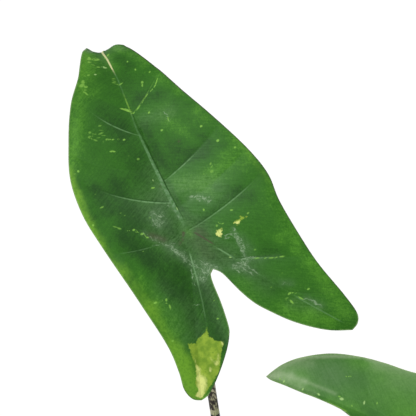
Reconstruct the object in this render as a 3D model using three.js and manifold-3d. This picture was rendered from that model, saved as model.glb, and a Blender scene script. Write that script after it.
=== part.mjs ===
// A potted alocasia with zebra-marked stalks: four arrow-shaped leaves on a short
// rhizome, in a plain clay pot filled with soil.
// Millimetres, +Z up. The origin is the middle of the pot's flat underside.
import * as THREE from 'three';
import { mergeVertices } from 'three/addons/utils/BufferGeometryUtils.js';
import Module from 'manifold-3d';

const wasm = await Module();
wasm.setup();

// Driving dimensions
const GAP = 0.3;
const SLACK = 0.1; // extra room where facets bulge past the curve that they follow

const POT = {
  height: 142, rimRadius: 79, rimHeight: 30, rimStep: 5.5, rimFlare: 1, lip: 2.6, wall: 6.5,
  baseRadius: 54, foot: 2.5, floor: 9, floorWall: 5.5, cove: 5, sides: 48,
};
const DRAIN = { count: 3, radius: 4.5, circle: 27, sides: 14 };
const SOIL = { edge: 124, crown: 128, relief: 1.3, rings: 6 };
const RHIZOME = { radius: 19, root: 13, bottom: 92, top: 137, scar: 0.9, scarPitch: 6, sides: 24 };

const BLADE_THICKNESS = 0.8;
const RIB = { depth: 2.4, tipShare: 0.1, ridge: 3 };
const RIB_ROUNDING = 6; // how widely the fold between two ribs is rounded
const BLADE_GRID = {
  midribRows: 15, lobeRows: 12, outerColumns: 6, innerColumns: 3, midribShare: 0.6, crowding: 1.4,
};
const PETIOLE = {
  sides: 12, rows: 26, crowding: 1.25, topRadius: 3.2, midRadius: 4.3, collar: 50, upright: 12,
  beyond: 5,
};
const CUT_ABOVE = 25; // how far above a blade its stalk is cut away

// The shape of a leaf is given in flat leaf coordinates, millimetres: u runs along the
// midrib from the stalk's junction towards the tip, v runs to the right seen from above.
// bend lists [u, degrees that the midrib has turned down there].
const GENERAL_SIDE = {
  outer: [[236, 0], [212, 8.5], [180, 17.5], [144, 30], [108, 44], [70, 60], [36, 69],
    [4, 72], [-30, 71.5], [-62, 73], [-92, 77], [-110, 75], [-118, 66]],
  inner: [[-39, 5], [-52, 11], [-70, 18], [-90, 31], [-106, 45], [-115, 57], [-118, 66]],
};

const mirrored = (points) => points.map(([u, v]) => [u, -v]);
const scaled = (points, k) => points.map(([u, v]) => [u * k, v * k]);

function generalSides(k) {
  const outer = scaled(GENERAL_SIDE.outer, k);
  const inner = scaled(GENERAL_SIDE.inner, k);
  return {
    left: { outer: mirrored(outer), inner: mirrored(inner) },
    right: { outer, inner },
    sinus: [-34 * k, 0],
    length: 236 * k,
  };
}

const LEAVES = [
  {
    name: 'leaf_1',
    junction: [-60, 70, 509], heading: 126.5, pitch: 45.5, roll: 34,
    bend: [[-130, -28], [-60, -10], [0, 0], [60, 4], [110, 10], [150, 25], [174, 47],
      [193, 76], [212, 98], [236, 110]],
    fold: { rise: 15, reach: 38 }, twist: { degrees: 22, from: 90, to: 190 },
    left: {
      outer: [[236, 0], [212, -7], [190, -12.5], [180, -14.4], [170, -17.6], [156, -22.8],
        [144, -28.4], [126, -41.1], [103, -53], [74, -63.8], [44, -66.2], [13, -62.4],
        [-28, -55.3], [-68, -49.7], [-90, -50.4], [-104, -52.6], [-113.7, -50.2], [-118.4, -44.8]],
      inner: [[-35.5, 2.2], [-42.3, 0.8], [-58.8, -0.1], [-75.2, -2.3], [-81.5, -4.7],
        [-90.4, -11], [-103.6, -23.4], [-115.4, -37], [-118.4, -44.8]],
    },
    right: {
      outer: [[236, 0], [212, 8.5], [190, 13.6], [179, 16], [166.8, 20.1], [130.4, 32],
        [98, 43.3], [61.2, 57.9], [32.7, 67.9], [10.9, 72.4], [-10, 71.3], [-39.7, 73.8],
        [-62.6, 77.2], [-89.9, 84.5], [-107, 87.8], [-115, 85.2], [-119, 79.5]],
      inner: [[-39.3, 10], [-56.8, 16.4], [-69.3, 22.6], [-80.4, 31.1], [-91.3, 40.6],
        [-101.8, 52.1], [-111, 64.5], [-119, 79.5]],
    },
    sinus: [-33.5, 5],
    length: 236,
    stalk: {
      foot: [-1.5, 1.5], footRadius: 8.5, path: [[-5, 6, 172], [-25, 27, 277], [-41.2, 45, 375]],
    },
  },
  {
    name: 'leaf_2',
    junction: [104, -27, 389], heading: -10, pitch: -5, roll: -28,
    bend: [[-120, -25], [-50, -8], [0, 0], [60, 12], [120, 32], [180, 55], [220, 68]],
    fold: { rise: 12, reach: 38 }, twist: { degrees: 0, from: 90, to: 190 },
    left: {
      outer: [[220, 0], [198, -7], [168, -15], [134, -26], [100, -38], [64, -47], [28, -51],
        [-5, -51.6], [-28, -56.5], [-47, -58.7], [-69, -59.9], [-91.6, -56], [-103.2, -51.5],
        [-111.2, -47.6], [-117, -44.6]],
      inner: [[-33, -4], [-40, -6.5], [-48.3, -11.2], [-55.6, -16.6], [-74.7, -24.7],
        [-87.6, -29.4], [-101.4, -35.8], [-112.8, -40.7], [-117, -44.6]],
    },
    right: {
      outer: [[220, 0], [198, 7], [168, 15], [134, 26], [100, 38], [64, 49], [32, 55],
        [-5, 57.5], [-35, 60], [-62, 63], [-85, 64], [-105, 60], [-116, 51]],
      inner: [[-33, 4], [-45, 11], [-58, 17.5], [-78, 26], [-96, 35.5], [-110, 45], [-116, 51]],
    },
    sinus: [-29.5, 0],
    length: 220,
    stalk: {
      foot: [4, -1.5], footRadius: 10.5, path: [[8, -2, 185], [34, -8, 268], [72, -18, 342]],
    },
  },
  {
    name: 'leaf_3',
    junction: [-92, -62, 296], heading: 217, pitch: -16, roll: 8,
    bend: [[-100, -24], [-45, -8], [0, 0], [50, 13], [100, 34], [150, 58], [184, 72]],
    fold: { rise: 10, reach: 32 }, twist: { degrees: 0, from: 90, to: 190 },
    ...generalSides(0.78),
    stalk: {
      foot: [-4.5, -4.5], footRadius: 11.5, path: [[-10, -8, 180], [-34, -24, 235], [-68, -46, 280]],
    },
  },
  {
    name: 'leaf_4',
    junction: [62, 96, 262], heading: 55, pitch: -22, roll: -8,
    bend: [[-80, -22], [-40, -8], [0, 0], [40, 13], [80, 34], [120, 60], [151, 76]],
    fold: { rise: 8, reach: 28 }, twist: { degrees: 0, from: 90, to: 190 },
    ...generalSides(0.64),
    stalk: {
      foot: [3.5, 5], footRadius: 12, path: [[7, 12, 172], [26, 42, 216], [48, 76, 250]],
    },
  },
];

// Small helpers
const toRadians = THREE.MathUtils.degToRad;

function smoothstep(from, to, x) {
  return THREE.MathUtils.smoothstep(x, from, to);
}

function interpolate(xs, ys, x) {
  if (x <= xs[0]) return ys[0];
  for (let i = 1; i < xs.length; i += 1) {
    if (x <= xs[i]) {
      const share = (x - xs[i - 1]) / (xs[i] - xs[i - 1] || 1);
      return ys[i - 1] + (ys[i] - ys[i - 1]) * share;
    }
  }
  return ys[ys.length - 1];
}

function splineThrough(points) {
  return new THREE.SplineCurve(points.map(([x, y]) => new THREE.Vector2(x, y)));
}

// Points at the given shares of a polyline's length.
function alongLine(points, shares) {
  const lengths = [0];
  for (let i = 1; i < points.length; i += 1) {
    lengths.push(lengths[i - 1] + points[i].distanceTo(points[i - 1]));
  }
  const whole = lengths[lengths.length - 1];
  const xs = points.map((p) => p.x);
  const ys = points.map((p) => p.y);
  return shares.map((share) => new THREE.Vector2(
    interpolate(lengths, xs, share * whole),
    interpolate(lengths, ys, share * whole),
  ));
}

function evenShares(steps) {
  return Array.from({ length: steps + 1 }, (_, i) => i / steps);
}

// Shares that crowd together towards the end, for the round end of a lobe.
function crowdedShares(steps) {
  return evenShares(steps).map((share) => 1 - (1 - share) ** BLADE_GRID.crowding);
}

function material(colour, roughness) {
  return new THREE.MeshStandardMaterial({ color: colour, roughness, metalness: 0 });
}

function indexed(positions, triangles) {
  const geometry = new THREE.BufferGeometry();
  geometry.setAttribute('position', new THREE.Float32BufferAttribute(positions, 3));
  geometry.setIndex(triangles);
  return geometry;
}

// Closed geometry to solid and back
function solidOf(geometry) {
  const bare = geometry.clone();
  bare.deleteAttribute('normal');
  bare.deleteAttribute('uv');
  const merged = mergeVertices(bare, 1e-4);
  return new wasm.Manifold(new wasm.Mesh({
    numProp: 3,
    vertProperties: new Float32Array(merged.attributes.position.array),
    triVerts: new Uint32Array(merged.index.array),
  }));
}

function geometryOf(solid) {
  const mesh = solid.getMesh();
  return indexed(Array.from(mesh.vertProperties), Array.from(mesh.triVerts));
}

function latheZ(profile, sides) {
  const points = profile.map(([r, z]) => new THREE.Vector2(r, z));
  return new THREE.LatheGeometry(points, sides).rotateX(Math.PI / 2);
}

// Pot and soil
function potInnerRadius(z) {
  const bottom = POT.baseRadius - POT.floorWall;
  const top = POT.rimRadius - POT.wall;
  return bottom + (top - bottom) * ((z - POT.floor) / (POT.height - POT.floor));
}

// Points on a round corner, from one angle to another in degrees.
function corner(r, z, radius, from, to) {
  return evenShares(3).map((share) => {
    const angle = toRadians(from + (to - from) * share);
    return [r + radius * Math.cos(angle), z + radius * Math.sin(angle)];
  });
}

function potGeometry() {
  const bandBottom = POT.height - POT.rimHeight;
  const bandRadius = POT.rimRadius - POT.rimFlare;
  const { lip, cove } = POT;
  const profile = [
    [0, 0], [POT.baseRadius - POT.foot, 0], [POT.baseRadius, POT.foot],
    [POT.rimRadius - POT.rimStep, bandBottom],
    ...corner(bandRadius - lip / 2, bandBottom + lip / 2, lip / 2, -90, 0),
    ...corner(POT.rimRadius - lip, POT.height - lip, lip, 0, 90),
    ...corner(potInnerRadius(POT.height) + lip, POT.height - lip, lip, 90, 180),
    [potInnerRadius(POT.floor + cove), POT.floor + cove],
    [potInnerRadius(POT.floor) - cove, POT.floor], [0, POT.floor],
  ];
  let pot = solidOf(latheZ(profile, POT.sides));
  for (let i = 0; i < DRAIN.count; i += 1) {
    const angle = (i / DRAIN.count) * 2 * Math.PI + Math.PI / 6;
    const drill = new THREE.CylinderGeometry(DRAIN.radius, DRAIN.radius, 4 * POT.floor, DRAIN.sides);
    drill.rotateX(Math.PI / 2);
    drill.translate(DRAIN.circle * Math.cos(angle), DRAIN.circle * Math.sin(angle), 0);
    pot = pot.subtract(solidOf(drill));
  }
  return geometryOf(pot);
}

function soilRelief(x, y) {
  return SOIL.relief * (Math.sin(x * 0.21 + 1.3) * Math.cos(y * 0.24 - 0.4)
    + 0.7 * Math.sin(x * 0.43 - y * 0.37) + 0.4 * Math.cos(x * 0.61 + y * 0.55 + 2));
}

function soilGeometry() {
  const hole = RHIZOME.radius + GAP;
  const floor = RHIZOME.bottom - GAP;
  const edge = potInnerRadius(SOIL.edge) - GAP - SLACK;
  const top = evenShares(SOIL.rings).map((share) => {
    const r = edge + (hole - edge) * share;
    return [r, SOIL.edge + (SOIL.crown - SOIL.edge) * share];
  });
  const profile = [
    [0, POT.floor + GAP], [potInnerRadius(POT.floor) - POT.cove - GAP, POT.floor + GAP],
    [potInnerRadius(POT.floor + POT.cove) - GAP, POT.floor + POT.cove + GAP], ...top,
    [hole, floor], [0, floor],
  ];
  const geometry = latheZ(profile, POT.sides);
  const position = geometry.attributes.position;
  for (let i = 0; i < position.count; i += 1) {
    const [x, y, z] = [position.getX(i), position.getY(i), position.getZ(i)];
    const r = Math.hypot(x, y);
    if (z > SOIL.edge && r < edge - 1) position.setZ(i, z + soilRelief(x, y));
  }
  return geometry;
}

// The rhizome is ringed by the scars of leaves that have dropped.
function rhizomeGeometry() {
  const { radius, scar, top, bottom } = RHIZOME;
  const profile = [[0, bottom], [RHIZOME.root, bottom]];
  const rise = RHIZOME.scarPitch / 2;
  let inward = false;
  for (let z = bottom + rise; z < top - scar; z += rise) {
    profile.push([radius - (inward ? scar : 0), z]);
    inward = !inward;
  }
  profile.push([radius - scar, top], [0, top]);
  return latheZ(profile, RHIZOME.sides);
}

// A blade's middle surface, bent, folded along its ribs and twisted
class BladeSurface {
  constructor(leaf) {
    const [heading, pitch, roll] = [leaf.heading, leaf.pitch, leaf.roll].map(toRadians);
    const level = new THREE.Vector3(Math.sin(heading), -Math.cos(heading), 0);
    this.along = new THREE.Vector3(Math.cos(heading) * Math.cos(pitch),
      Math.sin(heading) * Math.cos(pitch), Math.sin(pitch));
    const raised = new THREE.Vector3().crossVectors(level, this.along);
    this.across = level.clone().multiplyScalar(Math.cos(roll)).addScaledVector(raised, Math.sin(roll));
    this.up = raised.clone().multiplyScalar(Math.cos(roll)).addScaledVector(level, -Math.sin(roll));
    this.junction = new THREE.Vector3(...leaf.junction);
    this.fold = leaf.fold;
    this.twist = leaf.twist;
    this.lobes = [leaf.left, leaf.right].map((side) => new THREE.Vector2(...side.outer.at(-1)));
    this.traceMidrib(leaf.bend);
  }

  // Steps of 1 mm along the midrib: angle, distance forward and distance down.
  traceMidrib(bend) {
    const curve = splineThrough(bend).getPoints(400);
    const us = curve.map((p) => p.x);
    const angles = curve.map((p) => toRadians(p.y));
    this.start = bend[0][0];
    this.angle = [];
    for (let u = this.start; u < bend.at(-1)[0] + 0.5; u += 1) this.angle.push(interpolate(us, angles, u));
    this.forward = [0];
    this.down = [0];
    for (let i = 1; i < this.angle.length; i += 1) {
      const [a, b] = [this.angle[i - 1], this.angle[i]];
      this.forward.push(this.forward[i - 1] + (Math.cos(a) + Math.cos(b)) / 2);
      this.down.push(this.down[i - 1] + (Math.sin(a) + Math.sin(b)) / 2);
    }
    const [forward0, down0] = [this.forward[-this.start], this.down[-this.start]];
    this.forward = this.forward.map((x) => x - forward0);
    this.down = this.down.map((x) => x - down0);
  }

  // Distance to the nearest main rib, rounded where two ribs are equally near.
  ribDistance(u, v) {
    const distances = [u > 0 ? Math.abs(v) : Math.hypot(u, v)];
    for (const lobe of this.lobes) {
      const length = lobe.length();
      const along = THREE.MathUtils.clamp((u * lobe.x + v * lobe.y) / length, 0, length);
      distances.push(Math.hypot(u - (along * lobe.x) / length, v - (along * lobe.y) / length));
    }
    const nearest = Math.min(...distances);
    const sum = distances.reduce((total, d) => total + Math.exp(-(d - nearest) / RIB_ROUNDING), 0);
    return Math.max(nearest - RIB_ROUNDING * Math.log(sum), 0);
  }

  point(u, v, offset) {
    const place = THREE.MathUtils.clamp(u - this.start, 0, this.angle.length - 1.001);
    const i = Math.floor(place);
    const share = place - i;
    const mix = (list) => list[i] + (list[i + 1] - list[i]) * share;
    const angle = mix(this.angle);
    const over = u - this.start - place;
    const forward = mix(this.forward) + over * Math.cos(angle);
    const down = mix(this.down) + over * Math.sin(angle);
    const folded = this.fold.rise * (1 - Math.exp(-this.ribDistance(u, v) / this.fold.reach));
    const twisted = v * Math.tan(toRadians(this.twist.degrees))
      * smoothstep(this.twist.from, this.twist.to, u);
    const height = folded - twisted + offset;
    const normal = this.up.clone().multiplyScalar(Math.cos(angle))
      .addScaledVector(this.along, Math.sin(angle));
    return this.junction.clone()
      .addScaledVector(this.along, forward)
      .addScaledVector(this.up, -down)
      .addScaledVector(this.across, v)
      .addScaledVector(normal, height);
  }
}

// Rows of flat points from a rib out to the margin. The first column lies beside the rib.
function rowsBetween(ribPoints, edgePoints, columns) {
  return ribPoints.map((rib, i) => {
    const edge = edgePoints[i];
    const length = rib.distanceTo(edge);
    const first = Math.min(1 / columns, RIB.ridge / Math.max(length, 1e-6));
    const shares = [0, ...evenShares(columns - 1).map((share) => first + (1 - first) * share)];
    return shares.map((share) => rib.clone().lerp(edge, share));
  });
}

// The flat net of one blade: its points, and triangles that face up.
function flatNet(leaf) {
  const { midribRows, lobeRows, outerColumns, innerColumns, midribShare } = BLADE_GRID;
  const points = [];
  const known = new Map();
  const triangles = [];
  const keep = (p) => {
    const key = `${p.x.toFixed(3)} ${p.y.toFixed(3)}`;
    if (!known.has(key)) {
      known.set(key, points.length);
      points.push(p);
    }
    return known.get(key);
  };
  const addRows = (rows, turned) => {
    const ids = rows.map((row) => row.map(keep));
    for (let i = 1; i < ids.length; i += 1) {
      for (let j = 1; j < ids[i].length; j += 1) {
        const corners = [ids[i - 1][j - 1], ids[i][j - 1], ids[i][j], ids[i - 1][j]];
        if (turned) corners.reverse();
        const ring = corners.filter((id, k) => id !== corners[(k + 3) % 4]);
        for (let k = 2; k < ring.length; k += 1) triangles.push([ring[0], ring[k - 1], ring[k]]);
      }
    }
  };
  const junction = new THREE.Vector2(0, 0);
  const tip = new THREE.Vector2(leaf.length, 0);
  const sinus = new THREE.Vector2(...leaf.sinus);
  for (const [side, isRight] of [[leaf.left, false], [leaf.right, true]]) {
    const lobe = new THREE.Vector2(...side.outer.at(-1));
    const midrib = evenShares(midribRows).map((share) => tip.clone().lerp(junction, share));
    const lobeRib = crowdedShares(lobeRows).map((share) => junction.clone().lerp(lobe, share));
    const shares = [
      ...evenShares(midribRows).map((share) => midribShare * share),
      ...crowdedShares(lobeRows).slice(1).map((share) => midribShare + (1 - midribShare) * share),
    ];
    const margin = alongLine(splineThrough(side.outer).getPoints(600), shares);
    margin[0] = tip;
    margin[margin.length - 1] = lobe;
    addRows(rowsBetween([...midrib, ...lobeRib.slice(1)], margin, outerColumns), !isRight);
    const sinusRows = Math.max(2, Math.round(lobeRows * 0.35));
    const innerMargin = splineThrough([leaf.sinus, ...side.inner]).getPoints(600);
    const edge = [
      ...evenShares(sinusRows).map((share) => junction.clone().lerp(sinus, share)),
      ...alongLine(innerMargin, crowdedShares(lobeRows - sinusRows)).slice(1),
    ];
    edge[edge.length - 1] = lobe;
    addRows(rowsBetween(lobeRib, edge, innerColumns), isRight);
  }
  return { points, triangles };
}

// How far the ribs stand out under the blade, thickest at the junction.
function ribDepth(leaf, surface, p) {
  const near = 1e-3;
  const tapered = (share) => RIB.depth * (1 - (1 - RIB.tipShare) * Math.min(share, 1));
  if (p.x >= 0 && Math.abs(p.y) < near) return tapered(p.x / leaf.length);
  const lobe = surface.lobes.find((end) => Math.abs(end.cross(p)) / end.length() < near);
  return lobe && p.x < 0 ? tapered(p.length() / lobe.length()) : 0;
}

// Both faces share one net, so they never cross; the margin joins them.
function bladeGeometry(leaf, surface, below, above) {
  const { points, triangles } = flatNet(leaf);
  const positions = [];
  for (const p of points) positions.push(...surface.point(p.x, p.y, above).toArray());
  for (const p of points) {
    const offset = -below - ribDepth(leaf, surface, p);
    positions.push(...surface.point(p.x, p.y, offset).toArray());
  }
  const count = points.length;
  const faces = [];
  const edges = new Map();
  for (const [a, b, c] of triangles) {
    faces.push(a, b, c, c + count, b + count, a + count);
    for (const [from, to] of [[a, b], [b, c], [c, a]]) edges.set(`${from} ${to}`, [from, to]);
  }
  for (const [from, to] of edges.values()) {
    if (!edges.has(`${to} ${from}`)) faces.push(from, from + count, to + count, from, to + count, to);
  }
  return indexed(positions, faces);
}

// A stalk: wide and clasping at its foot, slim below the blade. It can be made thicker by
// an extra radius, to cut room for itself out of an older stalk.
function petioleSweep(leaf, surface, extra = 0) {
  const { foot, footRadius, path } = leaf.stalk;
  const start = new THREE.Vector3(foot[0], foot[1], RHIZOME.top + GAP);
  const points = [start, start.clone().setZ(start.z + PETIOLE.upright),
    ...path.map((p) => new THREE.Vector3(...p)), surface.point(0, 0, 0)];
  const curve = new THREE.CatmullRomCurve3(points, false, 'catmullrom', 0.5);
  const length = curve.getLength();
  const end = curve.getTangentAt(1);
  const positions = [];
  const { sides, rows, crowding, topRadius, midRadius, collar, beyond } = PETIOLE;
  const side = new THREE.Vector3(1, 0, 0);
  for (let i = 0; i <= rows + 1; i += 1) {
    const share = (Math.min(i, rows) / rows) ** crowding;
    const centre = curve.getPointAt(share);
    const tangent = i === 0 ? new THREE.Vector3(0, 0, 1) : curve.getTangentAt(share);
    if (i > rows) centre.addScaledVector(end, beyond);
    side.addScaledVector(tangent, -side.dot(tangent)).normalize();
    const other = new THREE.Vector3().crossVectors(tangent, side);
    const height = share * length;
    const slim = midRadius + (topRadius - midRadius) * share;
    const radius = slim + (footRadius - slim) * Math.exp(-((height / collar) ** 2)) + extra;
    for (let k = 0; k < sides; k += 1) {
      const angle = (k / sides) * 2 * Math.PI;
      positions.push(...centre.clone()
        .addScaledVector(side, radius * Math.cos(angle))
        .addScaledVector(other, radius * Math.sin(angle)).toArray());
    }
  }
  const faces = [];
  for (let i = 0; i <= rows; i += 1) {
    for (let k = 0; k < sides; k += 1) {
      const [a, b] = [i * sides + k, i * sides + ((k + 1) % sides)];
      faces.push(a, b, b + sides, a, b + sides, a + sides);
    }
  }
  const last = (rows + 1) * sides;
  for (let k = 2; k < sides; k += 1) {
    faces.push(0, k, k - 1, last, last + k - 1, last + k);
  }
  return indexed(positions, faces);
}

// Materials
const CLAY = material(0xb5643f, 0.85);
const EARTH = material(0x3a2b20, 0.95);
const CORK = material(0x5b4632, 0.9);
const STALK = material(0x8b8670, 0.6);
const LEAF_GREEN = material(0x3b7a2a, 0.4);

// Assembly
const plant = new THREE.Group();

function addPiece(name, geometry, look) {
  const mesh = new THREE.Mesh(geometry, look.clone());
  mesh.name = name;
  plant.add(mesh);
}

addPiece('pot', potGeometry(), CLAY);
addPiece('soil', soilGeometry(), EARTH);
addPiece('rhizome', rhizomeGeometry(), CORK);

// The youngest leaf stands innermost, so each older stalk clasps the ones before it.
const youngerStalks = [];
for (const leaf of LEAVES) {
  const surface = new BladeSurface(leaf);
  const half = BLADE_THICKNESS / 2;
  addPiece(`${leaf.name}_blade`, bladeGeometry(leaf, surface, half, half), LEAF_GREEN);
  const clearance = solidOf(bladeGeometry(leaf, surface, half + GAP + SLACK, CUT_ABOVE));
  let stalk = solidOf(petioleSweep(leaf, surface)).subtract(clearance);
  for (const younger of youngerStalks) stalk = stalk.subtract(younger);
  addPiece(`${leaf.name}_petiole`, geometryOf(stalk), STALK);
  youngerStalks.push(solidOf(petioleSweep(leaf, surface, GAP + SLACK)));
}

export default plant;
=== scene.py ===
"""A potted alocasia with zebra-marked stalks: its surfaces, floor, light and camera.

Sizes are in millimetres and become metres when a mesh or the camera is made. Leaves are
laid out in flat leaf coordinates: u runs along the midrib from the stalk's junction
towards the tip, v runs to the right seen from above.
"""

import bmesh
import bpy
import numpy as np
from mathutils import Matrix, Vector


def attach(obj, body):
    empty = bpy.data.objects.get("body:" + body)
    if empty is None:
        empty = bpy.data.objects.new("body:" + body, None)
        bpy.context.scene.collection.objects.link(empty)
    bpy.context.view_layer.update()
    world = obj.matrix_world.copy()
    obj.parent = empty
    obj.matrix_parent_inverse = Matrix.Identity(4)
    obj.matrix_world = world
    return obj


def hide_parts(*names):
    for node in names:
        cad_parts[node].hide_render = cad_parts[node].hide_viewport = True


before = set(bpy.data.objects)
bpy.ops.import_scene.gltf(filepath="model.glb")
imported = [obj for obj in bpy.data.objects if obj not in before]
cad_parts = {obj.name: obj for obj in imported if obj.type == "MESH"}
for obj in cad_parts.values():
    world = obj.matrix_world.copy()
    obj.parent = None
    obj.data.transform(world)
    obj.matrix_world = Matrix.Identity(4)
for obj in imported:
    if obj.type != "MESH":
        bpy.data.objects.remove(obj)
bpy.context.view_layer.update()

MM = 0.001
TURN = 2 * np.pi

# The camera looks along +Y and down; frame_width is what it sees at its target.
CAMERA = {
    "target": (-45.4, 77.5, 525.8), "distance": 1000.0, "elevation": 24.0,
    "frame_width": 312.0, "sensor": 36.0,
}

POT = {
    "height": 142, "rim_radius": 79, "rim_height": 30, "rim_step": 5.5, "rim_flare": 1,
    "lip": 2.6, "wall": 6.5, "base_radius": 54, "foot": 2.5, "floor": 9, "floor_wall": 5.5,
    "cove": 5, "sides": 192,
}
DRAIN = {"count": 3, "radius": 4.5, "circle": 27, "sides": 28}
SOIL = {"edge": 124, "crown": 128, "relief": 1.3, "rings": 70, "sides": 220}
RHIZOME = {
    "radius": 19, "root": 13, "bottom": 92, "top": 137, "shoulder": 1.5, "inset": 2.2,
    "scar": 0.9, "scar_pitch": 6, "sides": 120,
}
GAP = 0.3

# A rib stands out under the blade and gets lower and narrower towards its end.
RIB = {"depth": 2.4, "tip_share": 0.1, "width": 2.2, "narrowing": 0.6, "rounding": 6.0}
# Panels swell between the side veins, which lie in grooves above and on ridges below.
BLADE = {
    "thickness": 0.8, "margin_thickness": 0.4, "margin_width": 7.0, "panel_rise": 0.9,
    "panel_reach": 7.0, "groove": 0.22, "groove_width": 0.8, "ridge": 0.7,
    "ridge_width": 0.9, "flat_edge": 9, "edge_sway": 0.35, "sway_length": 60,
    "crest": 0.35, "crest_width": 2.1, "crest_tip_width": 1.2,
}
NET = {"midrib_share": 0.6, "lobe_crowding": 1.4, "column_crowding": 1.2, "sinus_share": 0.35}
PETIOLE = {
    "sides": 40, "row": 1.8, "row_crowding": 1.1, "top_radius": 3.2, "mid_radius": 4.3,
    "collar": 50, "upright": 12, "samples": 600,
}
# Degrees between the main ribs and the streaks that the painted ground runs in.
STREAK_TURN = -120

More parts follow.
